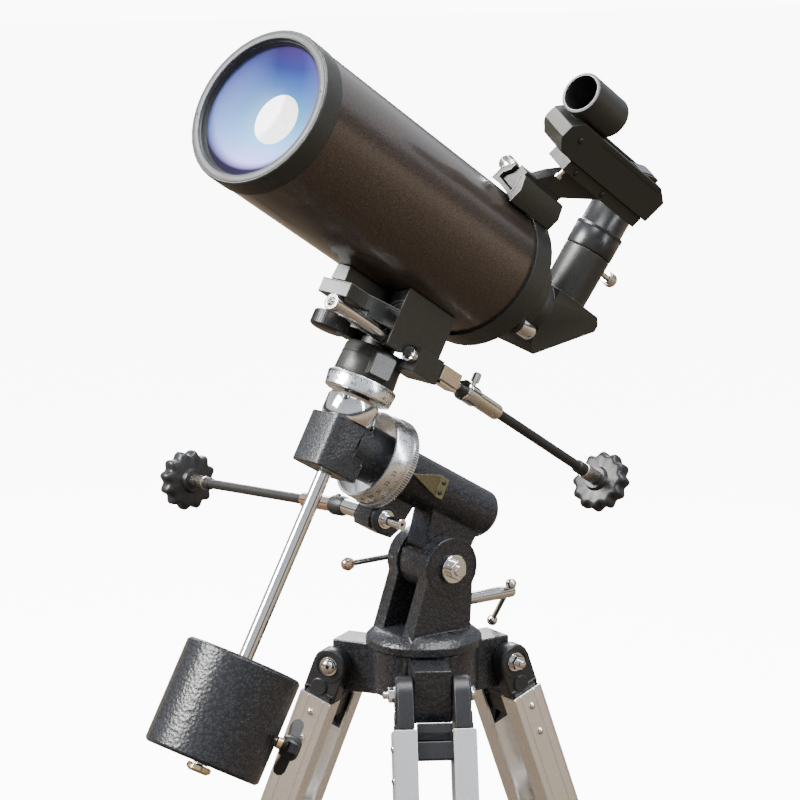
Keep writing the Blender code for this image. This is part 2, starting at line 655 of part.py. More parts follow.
def dec_drive():
    worm = [(3.5, 3.1), (3.0, 5.2), (-1.6, 5.2), (-1.6, 3.5), (-28.4, 3.5), (-28.4, 6.2), (-49.0, 6.2),
            (-49.0, 3.2), (-55.0, 3.2)]
    node("dec_worm", lathe(worm, 16, DEC_WORM, axis="X"), "dec_worm", "chrome")
    cable = [(0, 3.2), (6, 3.2), (7, 6.8), (20, 6.8), (21, 5.2), (48, 5.2), (49, 3.6), (155, 3.6), (156, 4.8),
             (180, 4.8)]
    node("dec_cable", lathe(cable, 14, DEC_CABLE), "dec_worm", "rubber")
    hand_wheel(DEC_CABLE, 180.3, "dec_knob", "dec_worm")


def saddle():
    """Tongue with two jaws, hollowed to the tube above and bored for its screw and rod."""
    h = TUBE_HEIGHT
    tongue = [(-33.5, -24.5), (20.5, -24.5), (42, -13.4), (60, -13.4), (60, 13.4), (42, 13.4), (20.5, 24.5),
              (-33.5, 24.5)]
    body = prism(tongue, h - 77.0, h - 63.5, SADDLE)
    cut(body, box((38, 70), (-30, 30), (h - 90, h - 73.4), SADDLE))
    jaw = [(-34, h - 76.0), (-34, h - 44.0), (20, h - 44.0), (20, h - 88.0), (6, h - 88.0)]
    for sign in (-1, 1):
        low, high = sorted((sign * 12.7, sign * 25.0))
        join(body, prism(jaw, low, high, SADDLE, "Y"))
    keel = [(-33, h - 76.3), (-33, h - 70.0), (19, h - 70.0), (19, h - 82.2), (-14.0, h - 82.2)]
    join(body, prism(keel, -14, 14, SADDLE, "Y"))
    cut(body, lathe([(-60, TUBE_RADIUS + 0.45), (80, TUBE_RADIUS + 0.45)], 40, TUBE, axis="X"))
    cut(body, lathe([(h - 90, 3.3), (h - 66.5, 3.3)], 14, SADDLE_SCREW))
    cut(body, lathe([(8.0, 4.0), (30.0, 4.0)], 14, SADDLE_ROD, axis="X"))
    node("saddle", body, "declination", "satin")


def saddle_rod():
    """Polished rod standing forward of the saddle, with a hexagon socket in its end."""
    profile = [(9.0, 3.6), (20.4, 3.6), (20.4, 4.4), (21.4, 5.0), (70.0, 5.0), (76.5, 6.0), (77.5, 5.6)]
    rod_shape = lathe(profile, 14, SADDLE_ROD, axis="X")
    cut(rod_shape, lathe([(70.0, 3.4), (80.0, 3.4)], 6, SADDLE_ROD, axis="X"))
    node("saddle_rod", rod_shape, "declination", "chrome")


def saddle_screw():
    h = TUBE_HEIGHT
    profile = [(h - 95.0, 11.0), (h - 94.0, 12.4), (h - 85.0, 12.4), (h - 84.2, 11.6), (h - 84.2, 2.9),
               (h - 67.0, 2.9)]
    node("saddle_screw", lathe(profile, 24, SADDLE_SCREW), "saddle_screw", "moulding")


def dovetail_bar():
    bar = prism([(-6.6, -62.9), (6.6, -62.9), (5.4, -50.0), (-5.4, -50.0)], -44.0, 60.0, section(TUBE))
    cut(bar, lathe([(-60, TUBE_RADIUS + 0.45), (80, TUBE_RADIUS + 0.45)], 40, TUBE, axis="X"))
    node("dovetail_bar", bar, "optical_tube", "satin")


dec_circle()
dec_head()
dec_drive()
saddle()
saddle_rod()
saddle_screw()
dovetail_bar()


# ---------------------------------------------------------------- optical tube
def tube():
    front = FRONT_RIM - FRONT_CELL_LENGTH - GAP
    inner = TUBE_RADIUS - TUBE_WALL
    profile = [(SEAM, TUBE_RADIUS), (front, TUBE_RADIUS), (front, inner), (SEAM, inner)]
    node("tube", lathe(profile, 40, TUBE, ring=True, axis="X"), "optical_tube", "enamel")


def front_cell():
    """Ring that holds the lens, with a spigot inside the tube."""
    back = FRONT_RIM - FRONT_CELL_LENGTH
    seat = GLASS_RADIUS + GAP
    profile = [(back, FRONT_CELL_RADIUS), (FRONT_RIM - 0.8, FRONT_CELL_RADIUS),
               (FRONT_RIM, FRONT_CELL_RADIUS - 0.8), (FRONT_RIM, 48.2), (FRONT_RIM - 2.0, seat),
               (back + 2.0, seat), (back + 2.0, 44.5), (back - 3.0, 44.5), (back - 3.0, 50.2), (back, 50.2)]
    node("front_cell", lathe(profile, 40, TUBE, ring=True, axis="X"), "optical_tube", "satin")


def corrector():
    """Deep meniscus lens, hollow outwards, the same curve front and back."""
    steps = 6
    deepest = MENISCUS_RADIUS - math.sqrt(MENISCUS_RADIUS ** 2 - GLASS_RADIUS ** 2)
    front = []
    for i in range(steps + 1):
        radius = GLASS_RADIUS * i / steps
        depth = MENISCUS_RADIUS - math.sqrt(MENISCUS_RADIUS ** 2 - radius ** 2)
        front.append((FRONT_RIM - 5.5 - deepest + depth, radius))
    back = [(along - MENISCUS_THICKNESS, radius) for along, radius in reversed(front)]
    node("corrector", lathe(front + back, 32, TUBE, axis="X"), "optical_tube", "glass")


def rear_cell():
    """Rear casting with its visual back, hollow inside and bored for the nose and the focuser."""
    profile = [(SEAM - GAP, 50.0), (SEAM - GAP, REAR_RADIUS), (REAR_FACE + 2.0, REAR_RADIUS),
               (REAR_FACE, REAR_RADIUS - 2.0), (REAR_FACE - 4.0, 46.0), (REAR_FACE - 6.0, 38.0),
               (REAR_FACE - 7.0, VISUAL_BACK_RADIUS), (VISUAL_BACK, VISUAL_BACK_RADIUS - 0.5),
               (VISUAL_BACK, 16.4), (REAR_FACE + 4.0, 16.4), (REAR_FACE + 4.0, 46.0), (SEAM - 2.0, 50.0)]
    cell = lathe(profile, 40, TUBE, ring=True, axis="X")
    cut(cell, lathe([(REAR_FACE - 20, 2.9), (SEAM, 2.9)], 14, FOCUS, axis="X"))
    node("rear_cell", cell, "optical_tube", "satin")


def focus_knob():
    profile = [(REAR_FACE + 8.0, 2.5), (REAR_FACE - 6.8, 2.5), (REAR_FACE - 6.8, 5.2), (REAR_FACE - 8.0, 5.8),
               (REAR_FACE - 24.0, 5.8), (REAR_FACE - 25.5, 4.8)]
    node("focus_knob", lathe(profile, 18, FOCUS, axis="X"), "focus", "chrome")


def primary_mirror():
    profile = [(-46.0, 12.0), (-46.0, 47.0), (-34.6, 47.0), (-38.0, 24.0), (-39.0, 12.0)]
    node("primary_mirror", lathe(profile, 28, TUBE, ring=True, axis="X"), "mirror", "mirror")


tube()
front_cell()
corrector()
rear_cell()
focus_knob()
primary_mirror()


# ---------------------------------------------------------------- diagonal and eyepiece
def diagonal_body():
    """Mirror housing with its nose in the visual back and a holder for the eyepiece."""
    outline = [(27.0, -23.5), (27.0, 19.5), (-24.0, 19.5), (-29.0, 14.5), (-29.0, 9.5), (18.0, -29.5),
               (22.0, -29.5)]
    body = prism(outline, -18.5, 18.5, DIAGONAL, "Y")
    shoulder = VISUAL_BACK - DIAGONAL_PLACE - GAP
    join(body, lathe([(26.0, 21.0), (36.0, 21.0), (38.0, 19.5), (shoulder, 19.5)], 28, DIAGONAL, axis="X"))
    join(body, lathe([(40.0, BARREL_RADIUS), (68.0, BARREL_RADIUS)], 28, DIAGONAL, axis="X"))
    join(body, lathe([(18.0, 17.0), (56.0, 17.4)], 28, DIAGONAL))
    cut(body, lathe([(25.0, 13.9), (80.0, 13.9)], 24, DIAGONAL, axis="X"))
    cut(body, lathe([(8.0, BARREL_RADIUS + 0.2), (62.0, BARREL_RADIUS + 0.2)], 24, DIAGONAL))
    cut(body, lathe([(10.0, 2.4), (30.0, 2.4)], 12, DIAGONAL_SCREW, axis="X"))
    node("diagonal_body", body, "diagonal", "satin")


def eyepiece():
    top = EYEPIECE_TOP
    profile = [(30.0, BARREL_RADIUS), (56.4, BARREL_RADIUS), (56.4, 17.4), (58.0, 17.8), (72.0, 17.8),
               (74.0, 16.2), (104.0, 16.2), (104.0, 17.2), (top - 1.0, 17.2), (top, 16.2), (top, 9.5),
               (top - 5.0, 8.0), (top - 6.0, 0.0)]
    node("eyepiece", lathe(profile, 24, DIAGONAL), "eyepiece", "black_metal")


def diagonal_screw():
    profile = [(16.4, 2.0), (31.0, 2.0), (31.0, 4.6), (32.0, 5.0), (39.0, 5.0), (40.0, 4.4)]
    node("diagonal_screw", lathe(profile, 14, DIAGONAL_SCREW, axis="X"), "diagonal_screw", "chrome")


diagonal_body()
eyepiece()
diagonal_screw()


# ---------------------------------------------------------------- finder
def finder_shoe():
    """Dovetail shoe on the tube, bored for the screw that holds the bracket's foot."""
    across = section(FINDER)
    outline = [(-13, 46), (15, 46), (15, 63.0), (9.0, 71.5), (-7.5, 71.5), (-13, 63.0)]
    shoe = prism(outline, -70.0, -22.0, across)
    channel = [(-8.2, 58.0), (8.2, 58.0), (8.2, 61.5), (4.9, 67.0), (4.9, 72.0), (-4.9, 72.0), (-4.9, 67.0),
               (-8.2, 61.5)]
    cut(shoe, lathe([(-90, REAR_RADIUS + 0.5), (-10, REAR_RADIUS + 0.5)], 40, TUBE, axis="X"))
    cut(shoe, prism(channel, -80, -10, across))
    cut(shoe, lathe([(0, 2.4), (20.0, 2.4)], 12, FINDER_SCREW, axis="X"))
    node("finder_shoe", shoe, "optical_tube", "satin")


def finder_bracket():
    """Foot in the shoe, a raked arm and the rail under the sight."""
    across = section(FINDER)
    wedge = [(-7.8, 58.4), (7.8, 58.4), (7.8, 61.3), (4.5, 66.8), (4.5, 74.0), (-4.5, 74.0), (-4.5, 66.8),
             (-7.8, 61.3)]
    foot = prism(wedge, -67.0, -25.0, across)
    raked = [(-34.0, 71.0), (-62.0, 71.0), (-100.0, 91.6), (-56.0, 91.6), (-44.0, 82.0)]
    arm = prism(raked, -4.2, 4.2, FINDER, "Y")
    rail = prism([(-10.0, 90.6), (10.0, 90.6), (10.0, 99.2), (-10.0, 99.2)], -136.0, -42.0, across)
    node("finder_bracket", join(foot, arm, rail), "finder", "moulding")


def finder_body():
    """Sight body with the window ring at its front and a sunk top behind it."""
    outline = [(-26.0, 99.6), (-16.0, 108.0), (-16.0, 118.0), (-24.0, 124.6), (-126.0, 124.6),
               (-138.5, 118.0), (-138.5, 99.6)]
    body = prism(outline, -12.6, 12.6, FINDER, "Y")
    join(body, lathe([(-12.0, 15.0), (-50.0, 15.0)], 28, RING, axis="X"))
    cut(body, lathe([(-60.0, 12.6), (0.0, 12.6)], 24, RING, axis="X"))
    cut(body, box((-124.0, -52.0), (-8.5, 8.5), (116.0, 130.0), FINDER))
    cut(body, lathe([(-20.0, 2.4), (0, 2.4)], 12, FINDER_DIAL, axis="Y"))
    node("finder_body", body, "finder", "moulding")


def finder_screw():
    profile = [(6.8, 2.0), (17.0, 2.0), (17.0, 5.0), (18.0, 5.6), (27.0, 5.6), (28.5, 4.6)]
    node("finder_screw", lathe(profile, 16, FINDER_SCREW, axis="X"), "finder_screw", "chrome")


def finder_dial():
    profile = [(-4.0, 2.0), (-13.0, 2.0), (-13.0, 9.6), (-14.0, 10.4), (-18.0, 10.4), (-19.0, 9.4)]
    node("finder_dial", lathe(profile, 20, FINDER_DIAL, axis="Y"), "finder_dial", "grey")


finder_shoe()
finder_bracket()
finder_body()
finder_screw()
finder_dial()
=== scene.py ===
"""Looks for the small mirror-lens telescope on its equatorial mount and tripod.

Lengths below are millimetres unless a name says otherwise; place() turns them into metres.  Every
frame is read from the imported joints, so a piece sits where the mechanism says it does.
"""
import json
import math

import bmesh
import bpy
from mathutils import Matrix, Vector


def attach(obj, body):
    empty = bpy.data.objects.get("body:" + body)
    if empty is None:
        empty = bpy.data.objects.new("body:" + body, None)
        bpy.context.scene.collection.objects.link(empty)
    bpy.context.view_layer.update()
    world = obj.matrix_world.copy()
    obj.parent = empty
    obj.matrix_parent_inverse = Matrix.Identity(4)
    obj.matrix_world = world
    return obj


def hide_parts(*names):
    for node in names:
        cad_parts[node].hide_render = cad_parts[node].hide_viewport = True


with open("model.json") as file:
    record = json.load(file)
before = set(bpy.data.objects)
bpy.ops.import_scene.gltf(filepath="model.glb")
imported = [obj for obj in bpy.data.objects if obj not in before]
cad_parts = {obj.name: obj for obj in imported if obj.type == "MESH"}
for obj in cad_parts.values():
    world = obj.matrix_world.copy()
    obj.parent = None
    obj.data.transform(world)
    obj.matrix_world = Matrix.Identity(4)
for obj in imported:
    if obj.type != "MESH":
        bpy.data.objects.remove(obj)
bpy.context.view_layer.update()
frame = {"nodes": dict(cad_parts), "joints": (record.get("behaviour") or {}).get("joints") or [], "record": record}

MM = 0.001
JOINTS = {joint["name"]: joint for joint in frame["joints"]}
BODY_OF = {node: body for body, nodes in frame["record"]["behaviour"]["bodies"].items() for node in nodes}
SLOT_OF = {row["node"]: row["material_slot"] for row in frame["record"]["subparts"]}
LEGS = "abc"
SHARP = math.radians(40)                                # edges sharper than this stay creased
FLAT = math.radians(0.6)                                # CAD faces nearer to flush than this become one
WELD = 2e-6                                             # points closer than this many metres become one
FINE_STEPS = 96                                         # sides of the large turned rings


# ------------------------------------------------------------------ frames, from the joints
def axis_of(joint):
    return Vector(JOINTS[joint]["axis"]).normalized()


def point_of(joint):
    return Vector(JOINTS[joint]["pos_m"])


def basis(origin, x_axis, y_axis, z_axis):
    matrix = Matrix.Identity(4)
    for column, vector in enumerate((x_axis, y_axis, z_axis, origin)):
        for row in range(3):
            matrix[row][column] = vector[row]
    return matrix


def moved(base, x=0.0, y=0.0, z=0.0):
    return base @ Matrix.Translation(Vector((x, y, z)) * MM)


def turned_frame(base, degrees, axis):
    return base @ Matrix.Rotation(math.radians(degrees), 4, axis)


def facing(base, along):
    """The same place with Z along the frame's own X or Y."""
    x, y, z = (Vector(base.col[i][:3]) for i in range(3))
    return basis(base.translation, *((y, z, x) if along == "X" else (z, x, y)))


UP = Vector((0, 0, 1))
POLAR_AXIS, DEC_AXIS, TUBE_AXIS = axis_of("ra_turn"), axis_of("dec_turn"), axis_of("dovetail_slide")
CROSSING = point_of("ra_turn")
NEAR = axis_of("ra_worm_turn")                          # towards the viewer's side
POLAR = basis(CROSSING, POLAR_AXIS, NEAR, POLAR_AXIS.cross(NEAR))
DEC = basis(CROSSING, POLAR_AXIS, DEC_AXIS.cross(POLAR_AXIS), DEC_AXIS)
SIDE = DEC_AXIS.cross(TUBE_AXIS)
SADDLE = basis(CROSSING, TUBE_AXIS, SIDE, DEC_AXIS)
DIAGONAL_NOSE = 130.0                                   # diagonal joint behind the tube's own origin
EYEPIECE_AXIS = 156.0                                   # the same for the eyepiece's axis
TUBE = basis(point_of("diagonal_turn") + TUBE_AXIS * DIAGONAL_NOSE * MM, TUBE_AXIS, SIDE, DEC_AXIS)
TUBE_HEIGHT = (TUBE.translation - CROSSING).length / MM
EYE = axis_of("eyepiece_slide")
DIAGONAL = basis(TUBE.translation - TUBE_AXIS * EYEPIECE_AXIS * MM, TUBE_AXIS, EYE.cross(TUBE_AXIS), EYE)
ACROSS = axis_of("finder_screw_turn")
FINDER = basis(TUBE.translation, TUBE_AXIS, ACROSS, TUBE_AXIS.cross(ACROSS))
PIVOT = basis(point_of("latitude_tilt"), Vector((1, 0, 0)), Vector((0, 1, 0)), UP)
CABLE_Z = axis_of("ra_cable_turn")
CABLE_X = CABLE_Z.cross(UP).normalized()
CABLE = basis(point_of("ra_cable_turn"), CABLE_X, CABLE_Z.cross(CABLE_X), CABLE_Z)
DEC_WORM_SIDE, DEC_WORM_HEIGHT, DEC_WORM_END = 30.4, 67.0, -55.3
DEC_DRIVE = moved(SADDLE, 0, DEC_WORM_SIDE, DEC_WORM_HEIGHT)    # its X is the declination worm's axis
DEC_CABLE = basis(moved(DEC_DRIVE, DEC_WORM_END).translation, SIDE, TUBE_AXIS.cross(SIDE) * -1,
                  TUBE_AXIS * -1)
RA_WORM_ALONG, RA_WORM_HEIGHT = -57.0, -34.0
WORM = moved(POLAR, RA_WORM_ALONG, 0, RA_WORM_HEIGHT)
LEG = {}
for key in LEGS:
    down = axis_of("leg_%s_extend" % key)
    swing = axis_of("leg_%s_fold" % key)
    LEG[key] = basis(point_of("leg_%s_fold" % key), swing.cross(down * -1), swing, down * -1)


# ------------------------------------------------------------------ materials
MIX_FIRST, MIX_SECOND, MIX_RESULT = 6, 7, 2             # the Mix node's colour sockets


def new_material(name):
    made = bpy.data.materials.new(name)
    made.use_nodes = True
    return made, made.node_tree.nodes, made.node_tree.links, made.node_tree.nodes["Principled BSDF"]


def coordinates(nodes):
    return nodes.new("ShaderNodeTexCoord").outputs["Object"]


def noise(nodes, links, place, scale, detail=3.0):
    texture = nodes.new("ShaderNodeTexNoise")
    texture.inputs["Scale"].default_value = scale
    texture.inputs["Detail"].default_value = detail
    links.new(place, texture.inputs["Vector"])
    return texture.outputs["Fac"]


def spread(nodes, links, value, low, high, dark=0.3, bright=0.7):
    """Map a noise value between dark and bright onto low to high."""
    node = nodes.new("ShaderNodeMapRange")
    node.inputs["From Min"].default_value = dark
    node.inputs["From Max"].default_value = bright
    node.inputs["To Min"].default_value = low
    node.inputs["To Max"].default_value = high
    links.new(value, node.inputs["Value"])
    return node.outputs["Result"]


def ramp_of(nodes, links, value, stops):
    """Colours at the (position, colour) stops, blended between them."""
    ramp = nodes.new("ShaderNodeValToRGB")
    elements = ramp.color_ramp.elements
    for element, (position, colour) in zip(elements, (stops[0], stops[-1])):
        element.position, element.color = position, (*colour, 1)
    for position, colour in stops[1:-1]:
        elements.new(position).color = (*colour, 1)
    links.new(value, ramp.inputs["Fac"])
    return ramp.outputs["Color"]


def two_tone(nodes, links, value, first, second, dark=0.35, bright=0.65):
    return ramp_of(nodes, links, value, ((dark, first), (bright, second)))


def blended(nodes, links, factor, first, second):
    """Mix two colours; second is a socket or a plain colour."""
    mix = nodes.new("ShaderNodeMix")
    mix.data_type = "RGBA"
    links.new(factor, mix.inputs["Factor"])
    links.new(first, mix.inputs[MIX_FIRST])
    if isinstance(second, tuple):
        mix.inputs[MIX_SECOND].default_value = (*second, 1)
    else:
        links.new(second, mix.inputs[MIX_SECOND])
    return mix.outputs[MIX_RESULT]


def arithmetic(nodes, links, operation, value, number=None):
    node = nodes.new("ShaderNodeMath")
    node.operation = operation
    links.new(value, node.inputs[0])
    if number is not None:
        node.inputs[1].default_value = number
    return node


def bump(nodes, links, height, strength, distance):
    node = nodes.new("ShaderNodeBump")
    node.inputs["Strength"].default_value = strength
    node.inputs["Distance"].default_value = distance
    links.new(height, node.inputs["Height"])
    return node.outputs["Normal"]


def finish_paint(name, first, second, rough, grain, bump_strength, metallic=0.0, coat=0.0):
    """A finish with mottled colour, uneven roughness and a fine grain, grain being its scale per metre."""
    made, nodes, links, shader = new_material(name)
    place = coordinates(nodes)
    fine = noise(nodes, links, place, grain)
    broad = noise(nodes, links, place, grain / 14, 2.0)
    links.new(two_tone(nodes, links, fine, first, second), shader.inputs["Base Color"])
    links.new(spread(nodes, links, broad, rough * 0.92, rough * 1.1), shader.inputs["Roughness"])
    links.new(bump(nodes, links, fine, bump_strength, 0.0002), shader.inputs["Normal"])
    shader.inputs["Metallic"].default_value = metallic
    shader.inputs["Coat Weight"].default_value = coat
    shader.inputs["Coat Roughness"].default_value = 0.06
    return made


def hammered(name, colour, rough, cell):
    """Hammertone enamel: rounded pebbles a few millimetres across under a gloss skin."""
    made, nodes, links, shader = new_material(name)
    place = coordinates(nodes)
    pebbles = nodes.new("ShaderNodeTexVoronoi")
    pebbles.feature = "SMOOTH_F1"
    pebbles.inputs["Scale"].default_value = 1 / cell
    pebbles.inputs["Smoothness"].default_value = 0.6
    links.new(place, pebbles.inputs["Vector"])
    fine = noise(nodes, links, place, 4 / cell)
    height = arithmetic(nodes, links, "MULTIPLY_ADD", fine, 0.35)
    links.new(pebbles.outputs["Distance"], height.inputs[2])
    paler = tuple(min(1.0, channel * 2.6) for channel in colour)
    speckled = two_tone(nodes, links, pebbles.outputs["Distance"], paler, colour, 0.1, 0.6)
    links.new(speckled, shader.inputs["Base Color"])
    links.new(spread(nodes, links, fine, rough * 0.75, rough * 1.3), shader.inputs["Roughness"])
    links.new(bump(nodes, links, height.outputs[0], 0.55, 0.0005), shader.inputs["Normal"])
    return made


def tube_enamel():
    """Clear-coated charcoal enamel with a warm metallic flake."""
    made, nodes, links, shader = new_material("tube_enamel")
    place = coordinates(nodes)
    flake = noise(nodes, links, place, 1500, 2.0)
    drift = noise(nodes, links, place, 9, 2.0)
    flaked = two_tone(nodes, links, flake, (0.020, 0.014, 0.011), (0.105, 0.072, 0.052), 0.42, 0.66)
    dulled = blended(nodes, links, spread(nodes, links, drift, 0.0, 0.5), flaked, (0.034, 0.025, 0.020))
    links.new(dulled, shader.inputs["Base Color"])
    links.new(spread(nodes, links, flake, 0.30, 0.46), shader.inputs["Roughness"])
    links.new(bump(nodes, links, flake, 0.10, 0.0001), shader.inputs["Normal"])
    shader.inputs["Metallic"].default_value = 0.55
    shader.inputs["Coat Weight"].default_value = 1.0
    shader.inputs["Coat Roughness"].default_value = 0.17
    return made


def coated_glass():
    """Front lens: a painted reflection of the sky in lilac, blue and teal, with a painted dark crescent of shade
    round its lower rim.
    """
    made, nodes, links, shader = new_material("coated_glass")
    source = nodes.new("ShaderNodeTexCoord")
    split = nodes.new("ShaderNodeSeparateXYZ")
    links.new(source.outputs["UV"], split.inputs["Vector"])
    # painted reflection: the sky's colours as the coated glass gives them back, graded top to bottom and blended
    # towards the sides
    reflection_top_to_bottom = ramp_of(nodes, links, split.outputs["Y"],
                      ((0.00, (0.46, 0.30, 0.78)), (0.18, (0.36, 0.38, 0.80)), (0.34, (0.15, 0.40, 0.72)),
                       (0.52, (0.05, 0.25, 0.42)), (0.72, (0.030, 0.10, 0.30)), (0.86, (0.026, 0.036, 0.18)),
                       (1.00, (0.050, 0.028, 0.13))))
    sides = ramp_of(nodes, links, split.outputs["X"],
                    ((0.0, (0.20, 0.22, 0.62)), (0.5, (0.10, 0.16, 0.40)), (1.0, (0.13, 0.075, 0.20))))
    from_middle = arithmetic(nodes, links, "SUBTRACT", split.outputs["X"], 0.5)
    bend = arithmetic(nodes, links, "ABSOLUTE", from_middle.outputs[0])
    painted_reflection = blended(nodes, links, spread(nodes, links, bend.outputs[0], 0.0, 0.85, 0.12, 0.5), reflection_top_to_bottom,
                      sides)
    # painted shade: dark beyond a circle set off the lens's middle, a crescent round the lower rim
    shade_reach = nodes.new("ShaderNodeVectorMath")
    shade_reach.operation = "DISTANCE"
    shade_reach.inputs[1].default_value = (0.45, 0.57, 0.0)
    links.new(source.outputs["UV"], shade_reach.inputs[0])
    painted_shade_crescent = spread(nodes, links, shade_reach.outputs["Value"], 0.0, 1.0, 0.43, 0.50)
    links.new(blended(nodes, links, painted_shade_crescent, painted_reflection, (0.012, 0.008, 0.022)), shader.inputs["Base Color"])
    place = coordinates(nodes)
    links.new(spread(nodes, links, noise(nodes, links, place, 30), 0.30, 0.38), shader.inputs["Roughness"])
    shader.inputs["Specular IOR Level"].default_value = 0.12
    return made


def metal(name, colour, rough, streak=900, contrast=0.75):
    """Bare or plated metal with fine drawn or turned streaks, streak being their scale per metre."""
    made, nodes, links, shader = new_material(name)
    place = coordinates(nodes)
    lines = noise(nodes, links, place, streak, 4.0)
    darker = tuple(channel * contrast for channel in colour)
    links.new(two_tone(nodes, links, lines, darker, colour, 0.25, 0.6), shader.inputs["Base Color"])
    links.new(spread(nodes, links, lines, rough * 0.7, rough * 1.35), shader.inputs["Roughness"])
    links.new(bump(nodes, links, lines, 0.05, 0.0001), shader.inputs["Normal"])
    shader.inputs["Metallic"].default_value = 1.0
    return made


# slot: two colours, roughness, grains per metre, depth of the grain
PAINTS = {
    "satin_black": ((0.010, 0.0105, 0.009), (0.024, 0.025, 0.021), 0.40, 1400, 0.30),
    "eyepiece_black": ((0.009, 0.009, 0.010), (0.017, 0.017, 0.018), 0.30, 1600, 0.08),
    "shaft_black": ((0.008, 0.008, 0.008), (0.018, 0.017, 0.016), 0.45, 1800, 0.25),
    "knob_black": ((0.007, 0.007, 0.009), (0.016, 0.016, 0.018), 0.38, 1500, 0.25),
    "finder_plastic": ((0.012, 0.013, 0.011), (0.022, 0.023, 0.019), 0.42, 1500, 0.28),
    "finder_dial_grey": ((0.16, 0.165, 0.17), (0.26, 0.265, 0.27), 0.25, 1200, 0.1, 0.4),
    "leg_plastic": ((0.008, 0.0085, 0.010), (0.020, 0.021, 0.023), 0.34, 1300, 0.30),
    "foot_rubber": ((0.010, 0.010, 0.010), (0.020, 0.020, 0.020), 0.75, 900, 0.4),
}
# slot: colour, roughness, and where they aren't the usual ones streaks per metre and contrast
METALS = {
    "chrome": ((0.80, 0.79, 0.77), 0.10),
    "lever_steel": ((0.62, 0.56, 0.50), 0.16),
    "circle_silver": ((0.82, 0.83, 0.84), 0.26, 1800, 0.85),
    "brass_screw": ((0.80, 0.62, 0.38), 0.20),
    "mirror_coat": ((0.88, 0.89, 0.90), 0.05),
    "leg_aluminium": ((0.95, 0.945, 0.93), 0.32, 2600, 0.96),
}
MATERIAL = {slot: finish_paint(slot, *values) for slot, values in PAINTS.items()}
MATERIAL.update({slot: metal(slot, *values) for slot, values in METALS.items()})
MATERIAL["hammered_black"] = hammered("hammered_black", (0.010, 0.0105, 0.012), 0.26, 0.0022)
MATERIAL["ra_black"] = hammered("ra_black", (0.011, 0.012, 0.014), 0.34, 0.0014)
MATERIAL["tube_paint"] = tube_enamel()
MATERIAL["lens_glass"] = coated_glass()

# finishes of small pieces, which differ from their slot's own
OLIVE_BRASS = metal("olive_brass", (0.25, 0.25, 0.155), 0.34)
COPPER_TONE = metal("copper_tone", (0.82, 0.58, 0.44), 0.14)
WARM_STEEL = metal("warm_steel", (0.80, 0.74, 0.62), 0.22)
# dark grey standing in as painted shade between the circle's ribs
GROOVE_SHADE_GREY = metal("groove_shade_grey", (0.20, 0.20, 0.205), 0.40)
INK = finish_paint("ink", (0.010, 0.010, 0.012), (0.020, 0.020, 0.024), 0.5, 2000, 0.05)
# light grey laid on lit edges and faces as painted highlight; the latitude mark's print uses it too
HIGHLIGHT_AND_MARK_GREY = finish_paint("highlight_and_mark_grey", (0.15, 0.155, 0.16), (0.23, 0.235, 0.24), 0.46, 1500, 0.35, 0.2)
RIM_GREY = finish_paint("rim_grey", (0.034, 0.035, 0.037), (0.062, 0.064, 0.066), 0.46, 1500, 0.30)
# painted reflection: flat white standing in for the sky in the aluminised spot's mirror
PAINTED_SPOT_REFLECTION = finish_paint("painted_spot_reflection", (0.86, 0.87, 0.88), (0.95, 0.95, 0.95), 0.12, 300, 0.02)
EYE_GLASS = finish_paint("eye_glass", (0.008, 0.008, 0.020), (0.016, 0.012, 0.040), 0.06, 200, 0.0, coat=1.0)
# near-black for the seams, and painted shade in holes, recesses, the lip inside the front cell and screw slots
SEAM_AND_SHADE_BLACK = finish_paint("seam_and_shade_black", (0.002, 0.002, 0.002), (0.005, 0.005, 0.005), 0.6, 1500, 0.1)


# ------------------------------------------------------------------ making pieces
def placed(name, data):
    obj = bpy.data.objects.new(name, data)
    bpy.context.scene.collection.objects.link(obj)
    return obj


def wear(obj, body, material):
    obj.data.materials.clear()
    obj.data.materials.append(material)
    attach(obj, body)
    return obj


def round_edges(obj, width):
    """Round the sharp edges with a small bevel, width in millimetres."""
    if width:
        bevel = obj.modifiers.new("edges", "BEVEL")
        bevel.width = width * MM
        bevel.segments = 2
        bevel.limit_method = "ANGLE"
        bevel.angle_limit = SHARP
        bevel.use_clamp_overlap = False
        bevel.harden_normals = True


def smooth(mesh):
    mesh.shade_smooth()
    mesh.set_sharp_from_angle(angle=SHARP)


def dress(node, width):
    """A clean copy of a CAD node, with its edges rounded, in the node's own finish."""
    source = frame["nodes"][node].data
    work = bmesh.new()
    for vertex in source.vertices:
        work.verts.new(vertex.co)
    work.verts.ensure_lookup_table()
    for polygon in source.polygons:
        work.faces.new([work.verts[i] for i in polygon.vertices])
    bmesh.ops.remove_doubles(work, verts=work.verts, dist=WELD)
    bmesh.ops.dissolve_limit(work, angle_limit=FLAT, verts=work.verts, edges=work.edges)
    mesh = bpy.data.meshes.new(node + "_skin")
    work.to_mesh(mesh)
    work.free()
    smooth(mesh)
    obj = placed(node + "_skin", mesh)
    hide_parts(node)
    round_edges(obj, width)
    wear(obj, BODY_OF[node], MATERIAL[SLOT_OF[node]])


def build(name, place, shape, body, slot, material=None, width=0.0):
    """A piece from (points, faces) in a frame, in millimetres, in its slot's finish unless one is named."""
    vertices, faces = shape
    work = bmesh.new()
    points = [work.verts.new(place @ (Vector(vertex) * MM)) for vertex in vertices]
    for face in faces:
        work.faces.new([points[i] for i in face])
    bmesh.ops.recalc_face_normals(work, faces=work.faces)
    mesh = bpy.data.meshes.new(name)
    work.to_mesh(mesh)
    work.free()
    smooth(mesh)
    obj = placed(name, mesh)
    round_edges(obj, width)
    return wear(obj, body, material or MATERIAL[slot])


